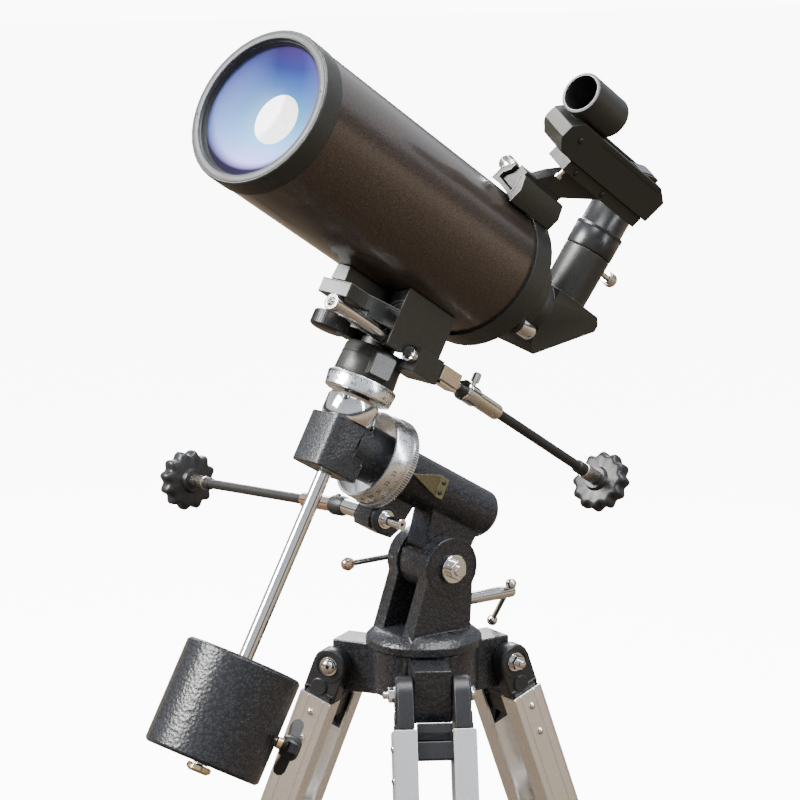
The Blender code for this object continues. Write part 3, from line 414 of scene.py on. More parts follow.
def lathe_shape(profile, steps):
    """Points and faces of (along, radius) pairs turned about Z, with closed ends; radius 0 is a point."""
    vertices, rows, faces = [], [], []
    for along, radius in profile:
        count = steps if radius > 1e-6 else 1
        rows.append(range(len(vertices), len(vertices) + count))
        for i in range(count):
            angle = 2 * math.pi * i / steps
            vertices.append((radius * math.cos(angle), radius * math.sin(angle), along))
    for low, high in zip(rows, rows[1:]):
        for i in range(steps):
            j = (i + 1) % steps
            corners = [low[i % len(low)], low[j % len(low)], high[j % len(high)], high[i % len(high)]]
            corners = list(dict.fromkeys(corners))
            if len(corners) > 2:
                faces.append(corners)
    for row in (rows[0], rows[-1]):
        if len(row) > 1:
            faces.append(list(row))
    return vertices, faces


def ring_shape(profile, steps):
    """Points and faces of a closed outline turned about Z."""
    vertices, faces = [], []
    count = len(profile)
    for i in range(steps):
        angle = 2 * math.pi * i / steps
        for along, radius in profile:
            vertices.append((radius * math.cos(angle), radius * math.sin(angle), along))
    for i in range(steps):
        for k in range(count):
            a, b = i * count, (i + 1) % steps * count
            faces.append([a + k, a + (k + 1) % count, b + (k + 1) % count, b + k])
    return vertices, faces


def prism_shape(outline, low, high):
    count = len(outline)
    vertices = [(x, y, low) for x, y in outline] + [(x, y, high) for x, y in outline]
    faces = [list(range(count)), list(range(count, 2 * count))]
    faces += [[i, (i + 1) % count, count + (i + 1) % count, count + i] for i in range(count)]
    return vertices, faces


def circle_points(radius, count):
    angles = [2 * math.pi * i / count for i in range(count)]
    return [(radius * math.cos(angle), radius * math.sin(angle)) for angle in angles]


def several(shapes):
    """Join (shape, matrix in millimetres) pairs into one set of points and faces."""
    vertices, faces = [], []
    for (points, polygons), matrix in shapes:
        offset = len(vertices)
        vertices += [tuple(matrix @ Vector(point)) for point in points]
        faces += [[offset + i for i in polygon] for polygon in polygons]
    return vertices, faces


def shift(x=0.0, y=0.0, z=0.0):
    return Matrix.Translation((x, y, z))


def spin(degrees, axis="Z"):
    return Matrix.Rotation(math.radians(degrees), 4, axis)


BOX = prism_shape([(-0.5, -0.5), (0.5, -0.5), (0.5, 0.5), (-0.5, 0.5)], -0.5, 0.5)


def block(x, y, z):
    return Matrix.Diagonal((x, y, z, 1))


# ------------------------------------------------------------------ CAD pieces in their finish
PLAIN_EDGE = 0.3                                        # bevel in millimetres where nothing else is given
EDGE = {"saddle": 0.7, "dec_head": 0.5, "ra_body": 1.0, "polar_housing": 0.8, "fork_base": 0.8,
        "tripod_hub": 1.2, "finder_shoe": 0.5, "finder_bracket": 0.5, "finder_body": 0.8,
        "diagonal_body": 0.8, "counterweight": 0.5, "front_cell": 0.25, "rear_cell": 0.4}
LEG_EDGE = {"yoke": 1.2, "clamp": 1.2, "lower": 0.8, "foot": 0.8, "knob": 0.5}
REBUILT = {"corrector", "ra_knob", "dec_knob", "ra_circle", "dec_circle"}


def dress_all():
    for node in sorted(frame["nodes"]):
        if node in REBUILT:
            continue
        if node.startswith("leg_"):
            width = LEG_EDGE.get(node[len("leg_a_"):], PLAIN_EDGE)
        else:
            width = EDGE.get(node, PLAIN_EDGE)
        dress(node, width)


# ------------------------------------------------------------------ optical tube details
FRONT_RIM, GLASS_RADIUS = 186.1, 46.0
GLASS_EDGE = FRONT_RIM - 5.5                            # where the glass meets its cell
GLASS_THICKNESS, SPOT_RADIUS = 7.2, 17.0
GLASS_CURVE, GLASS_BACK_CURVE = 76.4, 130.0             # radii of the coated front and of the back


def sagitta(radius, curve=GLASS_CURVE):
    return curve - math.sqrt(curve ** 2 - radius ** 2)


def make_corrector():
    """The deep front lens, concave outwards, with a painted reflection in the coated glass's colours laid across
    its face.
    """
    rings = 14
    radii = [GLASS_RADIUS * i / rings for i in range(rings + 1)]
    middle = GLASS_EDGE - sagitta(GLASS_RADIUS)
    back_middle = GLASS_EDGE - GLASS_THICKNESS - sagitta(GLASS_RADIUS, GLASS_BACK_CURVE)
    front = [(middle + sagitta(radius), radius) for radius in radii]
    back = [(back_middle + sagitta(radius, GLASS_BACK_CURVE), radius) for radius in reversed(radii)]
    place = facing(TUBE, "X")
    lens = build("corrector_lens", place, lathe_shape(front + back, 72), BODY_OF["corrector"], "lens_glass")
    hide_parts("corrector")
    layer = lens.data.uv_layers.new(name="across")
    inverse = TUBE.inverted()
    for loop in lens.data.loops:
        local = inverse @ lens.data.vertices[loop.vertex_index].co / MM
        layer.data[loop.index].uv = (0.5 + local.y / (2 * GLASS_RADIUS), 0.5 + local.z / (2 * GLASS_RADIUS))


def make_secondary():
    """The aluminised spot at the middle of the lens, painted white as a painted reflection of the sky in its
    mirror.
    """
    middle = GLASS_EDGE - sagitta(GLASS_RADIUS)
    rise, half_rise = sagitta(SPOT_RADIUS), sagitta(SPOT_RADIUS * 0.5)
    profile = [(middle + 0.15, 0), (middle + 0.15 + half_rise, SPOT_RADIUS * 0.5),
               (middle + 0.1 + rise, SPOT_RADIUS), (middle - 0.3 + rise, SPOT_RADIUS), (middle - 0.6, 0)]
    build("secondary_spot", facing(TUBE, "X"), lathe_shape(profile, 48), BODY_OF["corrector"], "mirror_coat",
          PAINTED_SPOT_REFLECTION)


# ------------------------------------------------------------------ handwheels
def lobed_wheel(name, place, foot, body, node):
    """Twelve-lobed hand wheel with a dished face; foot is where its hub starts along the shaft."""
    lobes, per_lobe = 12, 8
    wheel_radius, lobe_depth, face_share = 20.9, 1.7, 0.6
    count = lobes * per_lobe
    sections = [(3.0, 0.80), (3.4, 0.90), (4.6, 0.965), (6.4, 1.0), (12.0, 1.0), (14.2, 0.965), (15.6, 0.90),
                (16.0, 0.82), (15.2, 0.72), (12.0, 0.62), (11.0, 0.40)]
    vertices, faces = [(0, 0, foot + 3.0)], []
    for height, share in sections:
        for i in range(count):
            angle = 2 * math.pi * i / count
            lobe = lobe_depth * max(share - face_share, 0) / (1 - face_share) * math.cos(lobes * angle)
            radius = (wheel_radius - lobe) * share
            vertices.append((radius * math.cos(angle), radius * math.sin(angle), foot + height))
    vertices.append((0, 0, foot + 11.0))
    for i in range(count):
        j = (i + 1) % count
        faces.append([0, 1 + i, 1 + j])
        for k in range(len(sections) - 1):
            a, b = 1 + k * count, 1 + (k + 1) * count
            faces.append([a + i, b + i, b + j, a + j])
        last = 1 + (len(sections) - 1) * count
        faces.append([last + i, len(vertices) - 1, last + j])
    wheel = build(name + "_wheel", place, (vertices, faces), body, "knob_black")
    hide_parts(node)
    hub = [(foot, 0), (foot, 8.0), (foot + 3.2, 9.5)]
    build(name + "_hub", place, lathe_shape(hub + [(foot + 3.2, 0)], 32), body, "knob_black")
    cap = [(foot + 10.6, 6.5), (foot + 12.6, 6.5), (foot + 13.2, 5.9), (foot + 13.2, 3.4), (foot + 12.2, 3.0),
           (foot + 12.2, 0)]
    build(name + "_cap", place, lathe_shape([(foot + 10.6, 0)] + cap, 32), body, "knob_black", width=0.2)


# ------------------------------------------------------------------ setting circles
def on_cone(angle, along, radius):
    """A small plate's place on a turned surface, its X round the surface and its Y along it."""
    c, s = math.cos(angle), math.sin(angle)
    return Matrix(((-s, 0, c, radius * c), (c, 0, s, radius * s), (0, 1, 0, along), (0, 0, 0, 1)))


def numeral_shape(text, height):
    """Outline letters as flat plates, in millimetres, centred."""
    curve = bpy.data.curves.new("numeral", "FONT")
    curve.body = text
    curve.size = height * 1.35
    curve.align_x = "CENTER"
    curve.align_y = "CENTER"
    curve.extrude = 0.06
    curve.resolution_u = 2
    holder = placed("numeral", curve)
    bpy.context.view_layer.update()
    mesh = bpy.data.meshes.new_from_object(holder.evaluated_get(bpy.context.evaluated_depsgraph_get()))
    shape = [tuple(v.co) for v in mesh.vertices], [list(p.vertices) for p in mesh.polygons]
    bpy.data.objects.remove(holder, do_unlink=True)
    bpy.data.curves.remove(curve)
    return shape


MARK_WIDTH, MARK_HEIGHT = 0.32, 0.16


def scale_marks(name, place, body, radius_at, start, long_end, short_end, divisions, labels, label_at, size):
    """Graduations along a turned surface from start, and numerals at label_at."""
    shapes = []
    for i in range(divisions):
        angle = 2 * math.pi * i / divisions
        end = long_end if i % 5 == 0 else short_end
        middle, length = (start + end) / 2, abs(end - start)
        mark = block(MARK_WIDTH, length, MARK_HEIGHT)
        shapes.append((BOX, on_cone(angle, middle, radius_at(middle)) @ mark))
    for i, label in enumerate(labels):
        angle = 2 * math.pi * i / len(labels)
        shapes.append((numeral_shape(label, size), on_cone(angle, label_at, radius_at(label_at))))
    build(name, place, several(shapes), body, "circle_silver", INK)


def make_ra_circle():
    """Cup-shaped right-ascension circle: ribbed rim over a band of painted shade, groove and an hour scale."""
    body, place = BODY_OF["ra_circle"], facing(DEC, "X")
    wall = [(-45.0, 12.0), (-45.0, 30.6), (-44.6, 31.0), (-40.4, 31.0), (-39.8, 31.0), (-26.3, 30.5),
            (-25.7, 30.0), (-25.7, 28.4), (-26.0, 28.2), (-41.6, 28.6), (-41.6, 12.0)]
    cup = build("ra_circle_cup", place, ring_shape(wall, FINE_STEPS), body, "circle_silver")
    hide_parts("ra_circle")
    # painted shade: a dark band under the ribs, showing between them
    band = [(-44.3, 30.5), (-44.3, 31.1), (-40.7, 31.1), (-40.7, 30.5)]
    build("ra_circle_grooves", place, ring_shape(band, FINE_STEPS), body, "circle_silver", GROOVE_SHADE_GREY)
    count = 110
    tooth = shift(31.15, 0, -42.6) @ block(1.3, 0.95, 3.8)
    teeth = [(BOX, spin(360 * i / count) @ tooth) for i in range(count)]
    build("ra_circle_knurl", place, several(teeth), body, "circle_silver")

    def outside(along):
        return 30.5 + 0.5 * (-26.3 - along) / 13.5 + 0.02

    hours = [str(i) for i in range(24)]
    scale_marks("ra_circle_scale", place, body, outside, -39.6, -35.2, -37.2, 144, hours, -31.6, 3.1)


def make_dec_circle():
    """Declination circle with a degree scale on its cone."""
    body, place = BODY_OF["dec_circle"], SADDLE
    wall = [(31.0, 9.4), (31.0, 22.6), (31.4, 23.2), (40.8, 24.2), (41.4, 23.8), (41.6, 23.2), (41.6, 9.4)]
    ring = build("dec_circle_ring", place, ring_shape(wall, FINE_STEPS), body, "circle_silver")
    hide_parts("dec_circle")

    def outside(along):
        return 23.2 + (along - 31.4) / 9.4 + 0.02

    degrees = ["90", "60", "30", "0", "30", "60", "90", "60", "30", "0", "30", "60"]
    scale_marks("dec_circle_scale", place, body, outside, 40.6, 37.4, 39.0, 180, degrees, 34.6, 3.0)


# ------------------------------------------------------------------ stage
def stage_piece(name, mesh, level, roughness):
    """Plain white ground or backdrop that only the camera sees, so the sky still lights the object."""
    made, _, _, shader = new_material(name)
    shader.inputs["Base Color"].default_value = (0.9, 0.9, 0.9, 1)
    shader.inputs["Roughness"].default_value = roughness
    shader.inputs["Specular IOR Level"].default_value = 0.0
    shader.inputs["Emission Color"].default_value = (1, 1, 1, 1)
    shader.inputs["Emission Strength"].default_value = level
    mesh.materials.append(made)
    piece = placed(name, mesh)
    piece.visible_glossy = False
    piece.visible_diffuse = False
    piece.visible_transmission = False
    piece.visible_shadow = False


def make_stage():
    half, radius = 26.0, 40.0                           # metres
    ground = bpy.data.meshes.new("floor")
    ground.from_pydata([(-half, -half, 0), (half, -half, 0), (half, half, 0), (-half, half, 0)], [],
                       [(0, 1, 2, 3)])
    stage_piece("floor", ground, 9.0, 0.9)
    work = bmesh.new()
    bmesh.ops.create_uvsphere(work, u_segments=48, v_segments=24, radius=radius)
    dome = bpy.data.meshes.new("backdrop")
    work.to_mesh(dome)
    work.free()
    stage_piece("backdrop", dome, 10.0, 1.0)


def area_light(name, place, target, power, width, height, colour=(1, 1, 1)):
    """A rectangular lamp aimed at target; places and sizes in metres, power in watts."""
    data = bpy.data.lights.new(name, "AREA")
    data.shape = "RECTANGLE"
    data.size, data.size_y = width, height
    data.energy = power
    data.color = colour
    light = placed(name, data)
    light.location = place
    light.rotation_euler = (Vector(target) - Vector(place)).to_track_quat("-Z", "Y").to_euler()


def make_world():
    """Pale sky above and a warm ground below, which the polished metal picks up."""
    world = bpy.data.worlds.new("studio")
    bpy.context.scene.world = world
    world.use_nodes = True
    nodes, links = world.node_tree.nodes, world.node_tree.links
    source = nodes.new("ShaderNodeTexCoord")
    split = nodes.new("ShaderNodeSeparateXYZ")
    links.new(source.outputs["Generated"], split.inputs["Vector"])
    stops = ((0.0, (0.22, 0.165, 0.12)), (0.32, (0.48, 0.38, 0.28)), (0.45, (0.95, 0.78, 0.60)),
             (0.485, (0.60, 0.52, 0.44)), (0.50, (0.09, 0.09, 0.09)), (0.56, (0.12, 0.13, 0.14)),
             (0.60, (0.95, 0.98, 1.05)), (1.0, (0.50, 0.58, 0.70)))
    height = spread(nodes, links, split.outputs["Z"], 0.0, 1.0, -1.0, 1.0)
    links.new(ramp_of(nodes, links, height, stops), nodes["Background"].inputs["Color"])
    nodes["Background"].inputs["Strength"].default_value = 0.9


CAMERA_LENS, CAMERA_SENSOR = 115.15, 36.0
CAMERA_FROM_CROSSING = Vector((-0.9186, -1.3854, 0.3349))       # metres
CAMERA_PITCH, CAMERA_HEADING = math.radians(79.47), math.radians(-34.95)


def make_camera():
    data = bpy.data.cameras.new("camera")
    data.lens = CAMERA_LENS
    data.sensor_width = CAMERA_SENSOR
    camera = placed("camera", data)
    camera.location = CROSSING + CAMERA_FROM_CROSSING
    camera.rotation_euler = (CAMERA_PITCH, 0, CAMERA_HEADING)
    bpy.context.scene.camera = camera


# ------------------------------------------------------------------ small shapes that repeat
def joined(*shapes):
    """Several shapes as one, each where it already is."""
    return several([(shape, shift()) for shape in shapes])


def box_shape(middle, size):
    """One box, middle and size being X, Y and Z."""
    return several([(BOX, shift(*middle) @ block(*size))])


def strip_shape(points, width, height, level=0.0):
    """A flat ribbon along a line of points in XY, its middle at level."""
    shapes = []
    for (x0, y0), (x1, y1) in zip(points, points[1:]):
        length = math.hypot(x1 - x0, y1 - y0)
        heading = math.degrees(math.atan2(y1 - y0, x1 - x0))
        middle = shift((x0 + x1) / 2, (y0 + y1) / 2, level)
        shapes.append((BOX, middle @ spin(heading) @ block(length + width, width, height)))
    return several(shapes)


def disc_shape(low, high, radius, chamfer=0.3, steps=32):
    profile = [(low, 0), (low, radius), (high - chamfer, radius), (high, radius - chamfer), (high, 0)]
    return lathe_shape(profile, steps)


def collar_shape(low, high, inner, outer, chamfer=0.3, steps=40):
    profile = [(low, inner), (low, outer - chamfer), (low + chamfer, outer), (high - chamfer, outer),
               (high, outer - chamfer), (high, inner)]
    return ring_shape(profile, steps)


def knurl_shape(low, high, radius, count, height=0.5):
    """Ribs round a turned head, standing on the given radius."""
    rib_share = 0.55
    width = 2 * math.pi * radius / count * rib_share
    rib = shift(radius, 0, (low + high) / 2) @ block(height, width, high - low)
    return several([(BOX, spin(360 * i / count) @ rib) for i in range(count)])


def screw_head(name, place, radius, body, material, slot):
    """Domed head with a driving slot, its axis along the frame's Z."""
    dome = [(0, 0), (0, radius), (radius * 0.28, radius * 0.92), (radius * 0.5, radius * 0.6),
            (radius * 0.56, 0)]
    build(name + "_head", place, lathe_shape(dome, 20), body, slot, material)
    # painted shade in the driving slot
    bar = box_shape((0, 0, radius * 0.56), (radius * 1.25, radius * 0.24, radius * 0.1))
    build(name + "_slot", place, bar, body, slot, SEAM_AND_SHADE_BLACK)


# ------------------------------------------------------------------ front and rear of the tube
def make_front_ring():
    """Annular face of the front cell with painted shade in its two spanner holes and on the lip inside, and seams.
    """
    body, place = BODY_OF["front_cell"], facing(TUBE, "X")
    face = [(185.2, 46.9), (186.3, 46.9), (186.5, 47.2), (186.5, 51.2), (186.3, 51.5), (185.2, 51.5)]
    build("front_face_ring", place, ring_shape(face, FINE_STEPS), body, "satin_black", RIM_GREY)
    # painted shade in the two spanner holes and on the lip inside
    hole = disc_shape(186.35, 186.6, 0.8, 0.1, 16)
    holes = [(hole, spin(angle) @ shift(49.2, 0, 0)) for angle in (-166, 19)]
    build("front_pin_holes", place, several(holes), body, "satin_black", SEAM_AND_SHADE_BLACK)
    lip = [(180.7, 44.6), (180.7, 46.3), (183.4, 46.3), (183.4, 45.9), (181.5, 45.4)]
    build("front_lip_shade", place, ring_shape(lip, FINE_STEPS), body, "satin_black", SEAM_AND_SHADE_BLACK)
    build("tube_seam", place, collar_shape(-53.3, -52.6, 52.2, 52.7, 0.1, FINE_STEPS), BODY_OF["tube"],
          "satin_black", SEAM_AND_SHADE_BLACK)
    build("front_seam", place, collar_shape(169.8, 170.4, 52.3, 52.8, 0.1, FINE_STEPS), BODY_OF["tube"],
          "satin_black", SEAM_AND_SHADE_BLACK)


def make_focuser():
    """Painted shade in the recess round the focus knob, and its polished end."""
    knob = facing(moved(TUBE, 0, 34.5, -27.0), "X")
    build("focus_recess_shade", knob, collar_shape(-80.2, -75.5, 6.7, 9.2, 0.6), BODY_OF["rear_cell"],
          "satin_black", SEAM_AND_SHADE_BLACK)
    build("focus_end", knob, disc_shape(-99.9, -99.3, 4.7, 0.2), BODY_OF["focus_knob"], "chrome", COPPER_TONE)


# ------------------------------------------------------------------ diagonal and eyepiece
def make_eyepiece():
    """Bands, grip and eye lens, then the boss and ribbed head of the clamp screw."""
    body = BODY_OF["eyepiece"]
    build("eyepiece_step", DIAGONAL, collar_shape(72.0, 74.6, 16.0, 18.1, 0.4, 48), body, "eyepiece_black")
    build("eyepiece_band", DIAGONAL, collar_shape(103.4, 103.9, 16.0, 16.45, 0.1, 48), body, "chrome")
    build("eyepiece_grip", DIAGONAL, knurl_shape(106.0, 111.0, 17.2, 60, 0.5), body, "shaft_black")
    dome = [(107.05, 0), (107.05, 7.6), (107.8, 6.2), (108.4, 3.4), (108.6, 0)]
    build("eye_lens", DIAGONAL, lathe_shape(dome, 32), body, "lens_glass", EYE_GLASS)
    screw = facing(turned_frame(moved(DIAGONAL, 0, 0, 50.0), 180, "Z"), "X")
    build("holder_boss", screw, collar_shape(16.6, 21.5, 2.5, 4.4, 0.5, 28), BODY_OF["diagonal_body"],
          "satin_black")
    build("diagonal_screw_knurl", screw, knurl_shape(32.2, 38.8, 5.0, 20, 0.5), BODY_OF["diagonal_screw"],
          "chrome")


# ------------------------------------------------------------------ finder
def make_finder():
    """Sight body details first, then the rail, the shoe and its screw."""
    sight, shoe, rail = BODY_OF["finder_body"], BODY_OF["finder_shoe"], BODY_OF["finder_bracket"]
    black = MATERIAL["shaft_black"]
    across = facing(FINDER, "X")
    ring = facing(moved(FINDER, 0, 0, 137.0), "X")
    # painted highlight round the finder ring's rim
    build("finder_ring_highlight", ring, collar_shape(-12.3, -11.7, 12.7, 13.5, 0.2, 48), sight, "finder_plastic",
          HIGHLIGHT_AND_MARK_GREY)
    build("finder_window", ring, disc_shape(-41.0, -40.2, 12.5, 0.1, 40), sight, "lens_glass", EYE_GLASS)
    near = facing(moved(FINDER, 0, 12.6, 0), "Y")
    for side, level in (("near", 0), ("far", -25.2)):
        build("finder_seam_" + side, near, box_shape((121.0, -88.0, level), (0.6, 76.0, 0.5)), sight,
              "finder_plastic", SEAM_AND_SHADE_BLACK)
    screws = (("a", sight, (-31.8, 12.6, 114.0)), ("b", rail, (-54.0, 10.0, 95.0)),
              ("c", rail, (-88.5, 10.0, 95.0)))
    for letter, body, spot in screws:
        screw_head("finder_screw_" + letter, facing(moved(FINDER, *spot), "Y"), 2.4, body, black,
                   "finder_plastic")
    lamp = [(116.2, -122.5), (116.2, -97.0), (123.0, -104.0), (127.2, -118.0), (127.2, -122.5)]
    build("finder_lamp", facing(FINDER, "Y"), prism_shape(lamp, -7.8, 7.8), sight, "finder_plastic",
          width=0.5)
    pane = facing(turned_frame(moved(FINDER, -111.0, 0, 125.4), 16.7, "Y"), "X")
    build("finder_lamp_pane", pane, box_shape((0, 0, 0), (11.0, 0.6, 12.0)), sight, "lens_glass", EYE_GLASS,
          width=0.2)
    cover = [(BOX, shift(0, 117.2, -74.0) @ block(15.0, 1.6, 40.0))]
    cover += [(BOX, shift(0, 118.2, -90.0 + 4.0 * i) @ block(11.0, 0.8, 1.6)) for i in range(9)]
    build("finder_battery_cover", across, several(cover), sight, "finder_plastic", black)
    dial = facing(moved(FINDER, -32.0, 0, 112.0), "Y")
    build("finder_dial_knurl", dial, knurl_shape(-17.8, -14.2, 10.3, 32, 0.6), BODY_OF["finder_dial"],
          "finder_dial_grey")
    spring = moved(FINDER, -47.0, 6.6, 0)
    adjuster = [(84.0, 0), (84.0, 2.6), (86.5, 2.6), (86.5, 1.5), (90.7, 1.5), (90.7, 0)]
    build("finder_adjuster", spring, lathe_shape(adjuster, 20), rail, "chrome")
    # painted highlight: light lines along the shoe's lit edges
    edges = []
    for side, outer, top in ((-1, 12.4, 7.2), (1, 14.4, 8.8)):
        edges.append([(side * outer, 53.0), (side * outer, 62.9), (side * top, 70.9), (side * 5.6, 70.9)])
        edges.append([(side * 8.9, 57.0), (side * 8.9, 61.7), (side * 5.5, 67.1), (side * 5.5, 70.9)])
    shoe_highlight_strips = [strip_shape(points, 0.6, 0.5, -21.85) for points in edges]
    build("finder_shoe_highlight", across, joined(*shoe_highlight_strips), shoe, "satin_black", HIGHLIGHT_AND_MARK_GREY)
    knob = facing(turned_frame(moved(FINDER, -36.0, 0, 65.5), -90, "Z"), "X")
    build("finder_screw_knurl", knob, knurl_shape(18.2, 26.8, 5.5, 24, 0.5), BODY_OF["finder_screw"],
          "chrome")


# ------------------------------------------------------------------ saddle and declination head
def make_saddle():
    """Painted highlights along the saddle's edges and faces, ribbed screw, dovetail's end, and the drum below."""
    body, head = BODY_OF["saddle"], BODY_OF["dec_head"]
    across = facing(SADDLE, "X")
    # painted highlight on the tongue's lit face, along the saddle's rim and round the pocket
    build("saddle_tongue_highlight", across, box_shape((0, 84.8, 60.1), (25.4, 8.6, 0.6)), body, "satin_black",
          HIGHLIGHT_AND_MARK_GREY, width=0.15)
    rim = [(20.8, -24.0), (42.0, -13.0), (59.7, -13.0), (59.7, 13.0), (42.0, 13.0), (20.8, 24.0)]
    build("saddle_edge_highlight", SADDLE, strip_shape(rim, 0.6, 0.4, 89.75), body, "satin_black", HIGHLIGHT_AND_MARK_GREY)
    outer = [(13.6, 70.0), (13.6, 87.0), (14.8, 92.0), (18.0, 95.6), (23.6, 97.0)]
    inner = [(15.6, 70.0), (15.6, 86.0), (16.8, 90.4), (19.6, 93.4), (24.2, 94.6)]
    pocket = [strip_shape(outer, 0.45, 0.4, 20.0), strip_shape(inner, 0.35, 0.4, 20.0),
              strip_shape([(24.7, 67.0), (24.7, 104.0)], 0.45, 0.4, 20.0)]
    build("saddle_pocket_highlight", across, joined(*pocket), body, "satin_black", HIGHLIGHT_AND_MARK_GREY)
    screw = moved(SADDLE, 49.0, -2.0, 0)
    build("saddle_screw_knurl", screw, knurl_shape(TUBE_HEIGHT - 93.8, TUBE_HEIGHT - 85.4, 12.3, 44, 0.7),
          BODY_OF["saddle_screw"], "knob_black")
    # painted highlight on the dovetail bar's end face
    bar = [(-6.2, -62.6), (6.2, -62.6), (5.3, -52.8), (-5.3, -52.8)]
    build("dovetail_end_highlight", facing(TUBE, "X"), prism_shape(bar, 59.9, 60.4), BODY_OF["dovetail_bar"],
          "satin_black", HIGHLIGHT_AND_MARK_GREY)
    build("dec_drum_seam", SADDLE, collar_shape(55.6, 56.1, 20.5, 21.15, 0.1, 64), head, "satin_black",
          SEAM_AND_SHADE_BLACK)
    # painted highlight on the lit face of the declination pad
    pad = facing(turned_frame(moved(SADDLE, 0, 0, 52.0), 62.0, "Z"), "X")
    side, corner = 7.2, 6.2
    square = [(-side, -corner), (-corner, -side), (corner, -side), (side, -corner),
              (side, corner), (corner, side), (-corner, side), (-side, corner)]
    build("dec_pad_highlight", pad, prism_shape(square, 25.3, 25.9), head, "satin_black", HIGHLIGHT_AND_MARK_GREY)


def make_dec_drive():
    """Bracket at the worm's outer end, then the coupling, sleeve and ferrule on the flexible shaft."""
    drive, head, turning = facing(DEC_DRIVE, "X"), BODY_OF["dec_head"], BODY_OF["dec_cable"]
    bracket = box_shape((0.6, 1.2, -38.5), (12.6, 10.4, 20.6))
    build("dec_drive_bracket", drive, bracket, head, "chrome", WARM_STEEL, width=0.5)
    strip = box_shape((1.8, -5.6, -39.5), (9.4, 2.2, 18.6))
    build("dec_drive_strip", drive, strip, head, "chrome", WARM_STEEL, width=0.3)
    coupling = joined(collar_shape(5.8, 9.0, 3.0, 7.4, 0.8), collar_shape(9.2, 20.6, 3.0, 6.95, 0.4))
    build("dec_coupling", DEC_CABLE, coupling, turning, "chrome")
    build("dec_sleeve", DEC_CABLE, collar_shape(20.9, 48.8, 3.4, 5.7, 0.5), turning, "chrome", WARM_STEEL)
    build("dec_ferrule", DEC_CABLE, collar_shape(164.0, 180.2, 3.4, 5.3, 0.4), turning, "chrome", WARM_STEEL)
    post = turned_frame(moved(DEC_CABLE, 0, 0, 15.0), 90.0, "X")
    grip = [(5.0, 0), (5.0, 1.7), (9.0, 1.7), (9.0, 3.0), (15.0, 3.0), (15.8, 2.2), (15.8, 0)]
    build("dec_coupling_screw", post, lathe_shape(grip, 20), turning, "chrome")


# ------------------------------------------------------------------ right ascension
def make_ra_details():
    """Pointer over the circle, the worm's boss and shaft end, and the flexible shaft's fittings."""
    housing, cable = BODY_OF["polar_housing"], BODY_OF["ra_cable"]
    corners = [(-43.0, 32.9, -1.2), (-76.0, 18.6, 8.6), (-78.2, 18.6, -6.0)]
    raised = [(x, y + 0.9, z) for x, y, z in corners]
    faces = [[0, 1, 2], [3, 5, 4], [0, 3, 4, 1], [1, 4, 5, 2], [2, 5, 3, 0]]
    build("ra_pointer", POLAR, (corners + raised, faces), housing, "brass_screw", OLIVE_BRASS, width=0.15)
    foot = [(-75.8, 16.0, 8.8), (-84.0, 16.0, 8.4), (-84.8, 16.0, -6.0), (-78.4, 16.0, -6.2)]
    lifted = [(x, 19.4, z) for x, y, z in foot]
    sides = [[0, 1, 2, 3], [4, 7, 6, 5]] + [[i, (i + 1) % 4, 4 + (i + 1) % 4, 4 + i] for i in range(4)]
    build("ra_pointer_foot", POLAR, (foot + lifted, sides), housing, "brass_screw", OLIVE_BRASS, width=0.2)
    for index, z in enumerate((4.9, -2.4)):
        screw_head("ra_pointer_screw_%d" % (index + 1), facing(moved(POLAR, -80.6, 19.4, z), "Y"), 1.7,
                   housing, MATERIAL["shaft_black"], "shaft_black")
    worm = facing(WORM, "Y")
    build("ra_worm_boss", worm, collar_shape(3.8, 8.4, 7.1, 10.4, 0.8, 40), housing, "hammered_black",
          MATERIAL["ra_black"])
    # painted shade in the hole at the shaft's end
    build("ra_shaft_hole_shade", worm, disc_shape(26.9, 27.15, 1.2, 0.05, 20), BODY_OF["ra_worm"], "chrome",
          SEAM_AND_SHADE_BLACK)
    build("ra_shaft_end", worm, collar_shape(20.0, 27.05, 1.3, 3.75, 0.5, 28), BODY_OF["ra_worm"], "chrome")
    build("ra_coupling_sleeve", CABLE, collar_shape(15.4, 49.6, 3.4, 5.15, 0.4), cable, "chrome", COPPER_TONE)
    build("ra_ferrule", CABLE, collar_shape(175.0, 191.2, 3.2, 5.0, 0.4), cable, "chrome", WARM_STEEL)
    set_screw = turned_frame(moved(CABLE, 0, 0, 8.0), 90.0, "X")
    build("ra_coupling_screw", set_screw, disc_shape(6.2, 8.0, 1.9, 0.4, 20), cable, "chrome")


def make_altitude():
    """Nut and washer of the altitude bolt, the latitude mark, and the lever tip."""
    fork, place = BODY_OF["fork_base"], facing(PIVOT, "Y")
    build("fork_face_line", place, collar_shape(-23.75, -23.4, 19.2, 19.9, 0.1, 72), fork, "hammered_black",
          SEAM_AND_SHADE_BLACK)
    build("altitude_nut", place, prism_shape(circle_points(7.0, 6), -31.4, -26.6), BODY_OF["altitude_bolt"],
          "chrome", width=0.5)
    build("altitude_washer", place, collar_shape(-26.7, -25.6, 6.0, 9.9, 0.5, 48), BODY_OF["altitude_bolt"],
          "chrome")
    mark = several([(BOX, spin(205.0) @ shift(19.7, 0, 0) @ block(0.4, 0.7, 4.2))])
    build("latitude_mark", place, mark, BODY_OF["polar_housing"], "hammered_black", HIGHLIGHT_AND_MARK_GREY)
    lever = turned_frame(moved(PIVOT, -50.0, 29.0, -0.5), -90.0, "Y")
    tip = [(-4.7, 0), (-4.4, 2.0), (-3.3, 3.6), (0.0, 4.8), (3.4, 3.5), (4.5, 2.0), (4.8, 0)]
    build("lever_tip", lever, lathe_shape(tip, 28), BODY_OF["altitude_lever"], "lever_steel", COPPER_TONE)


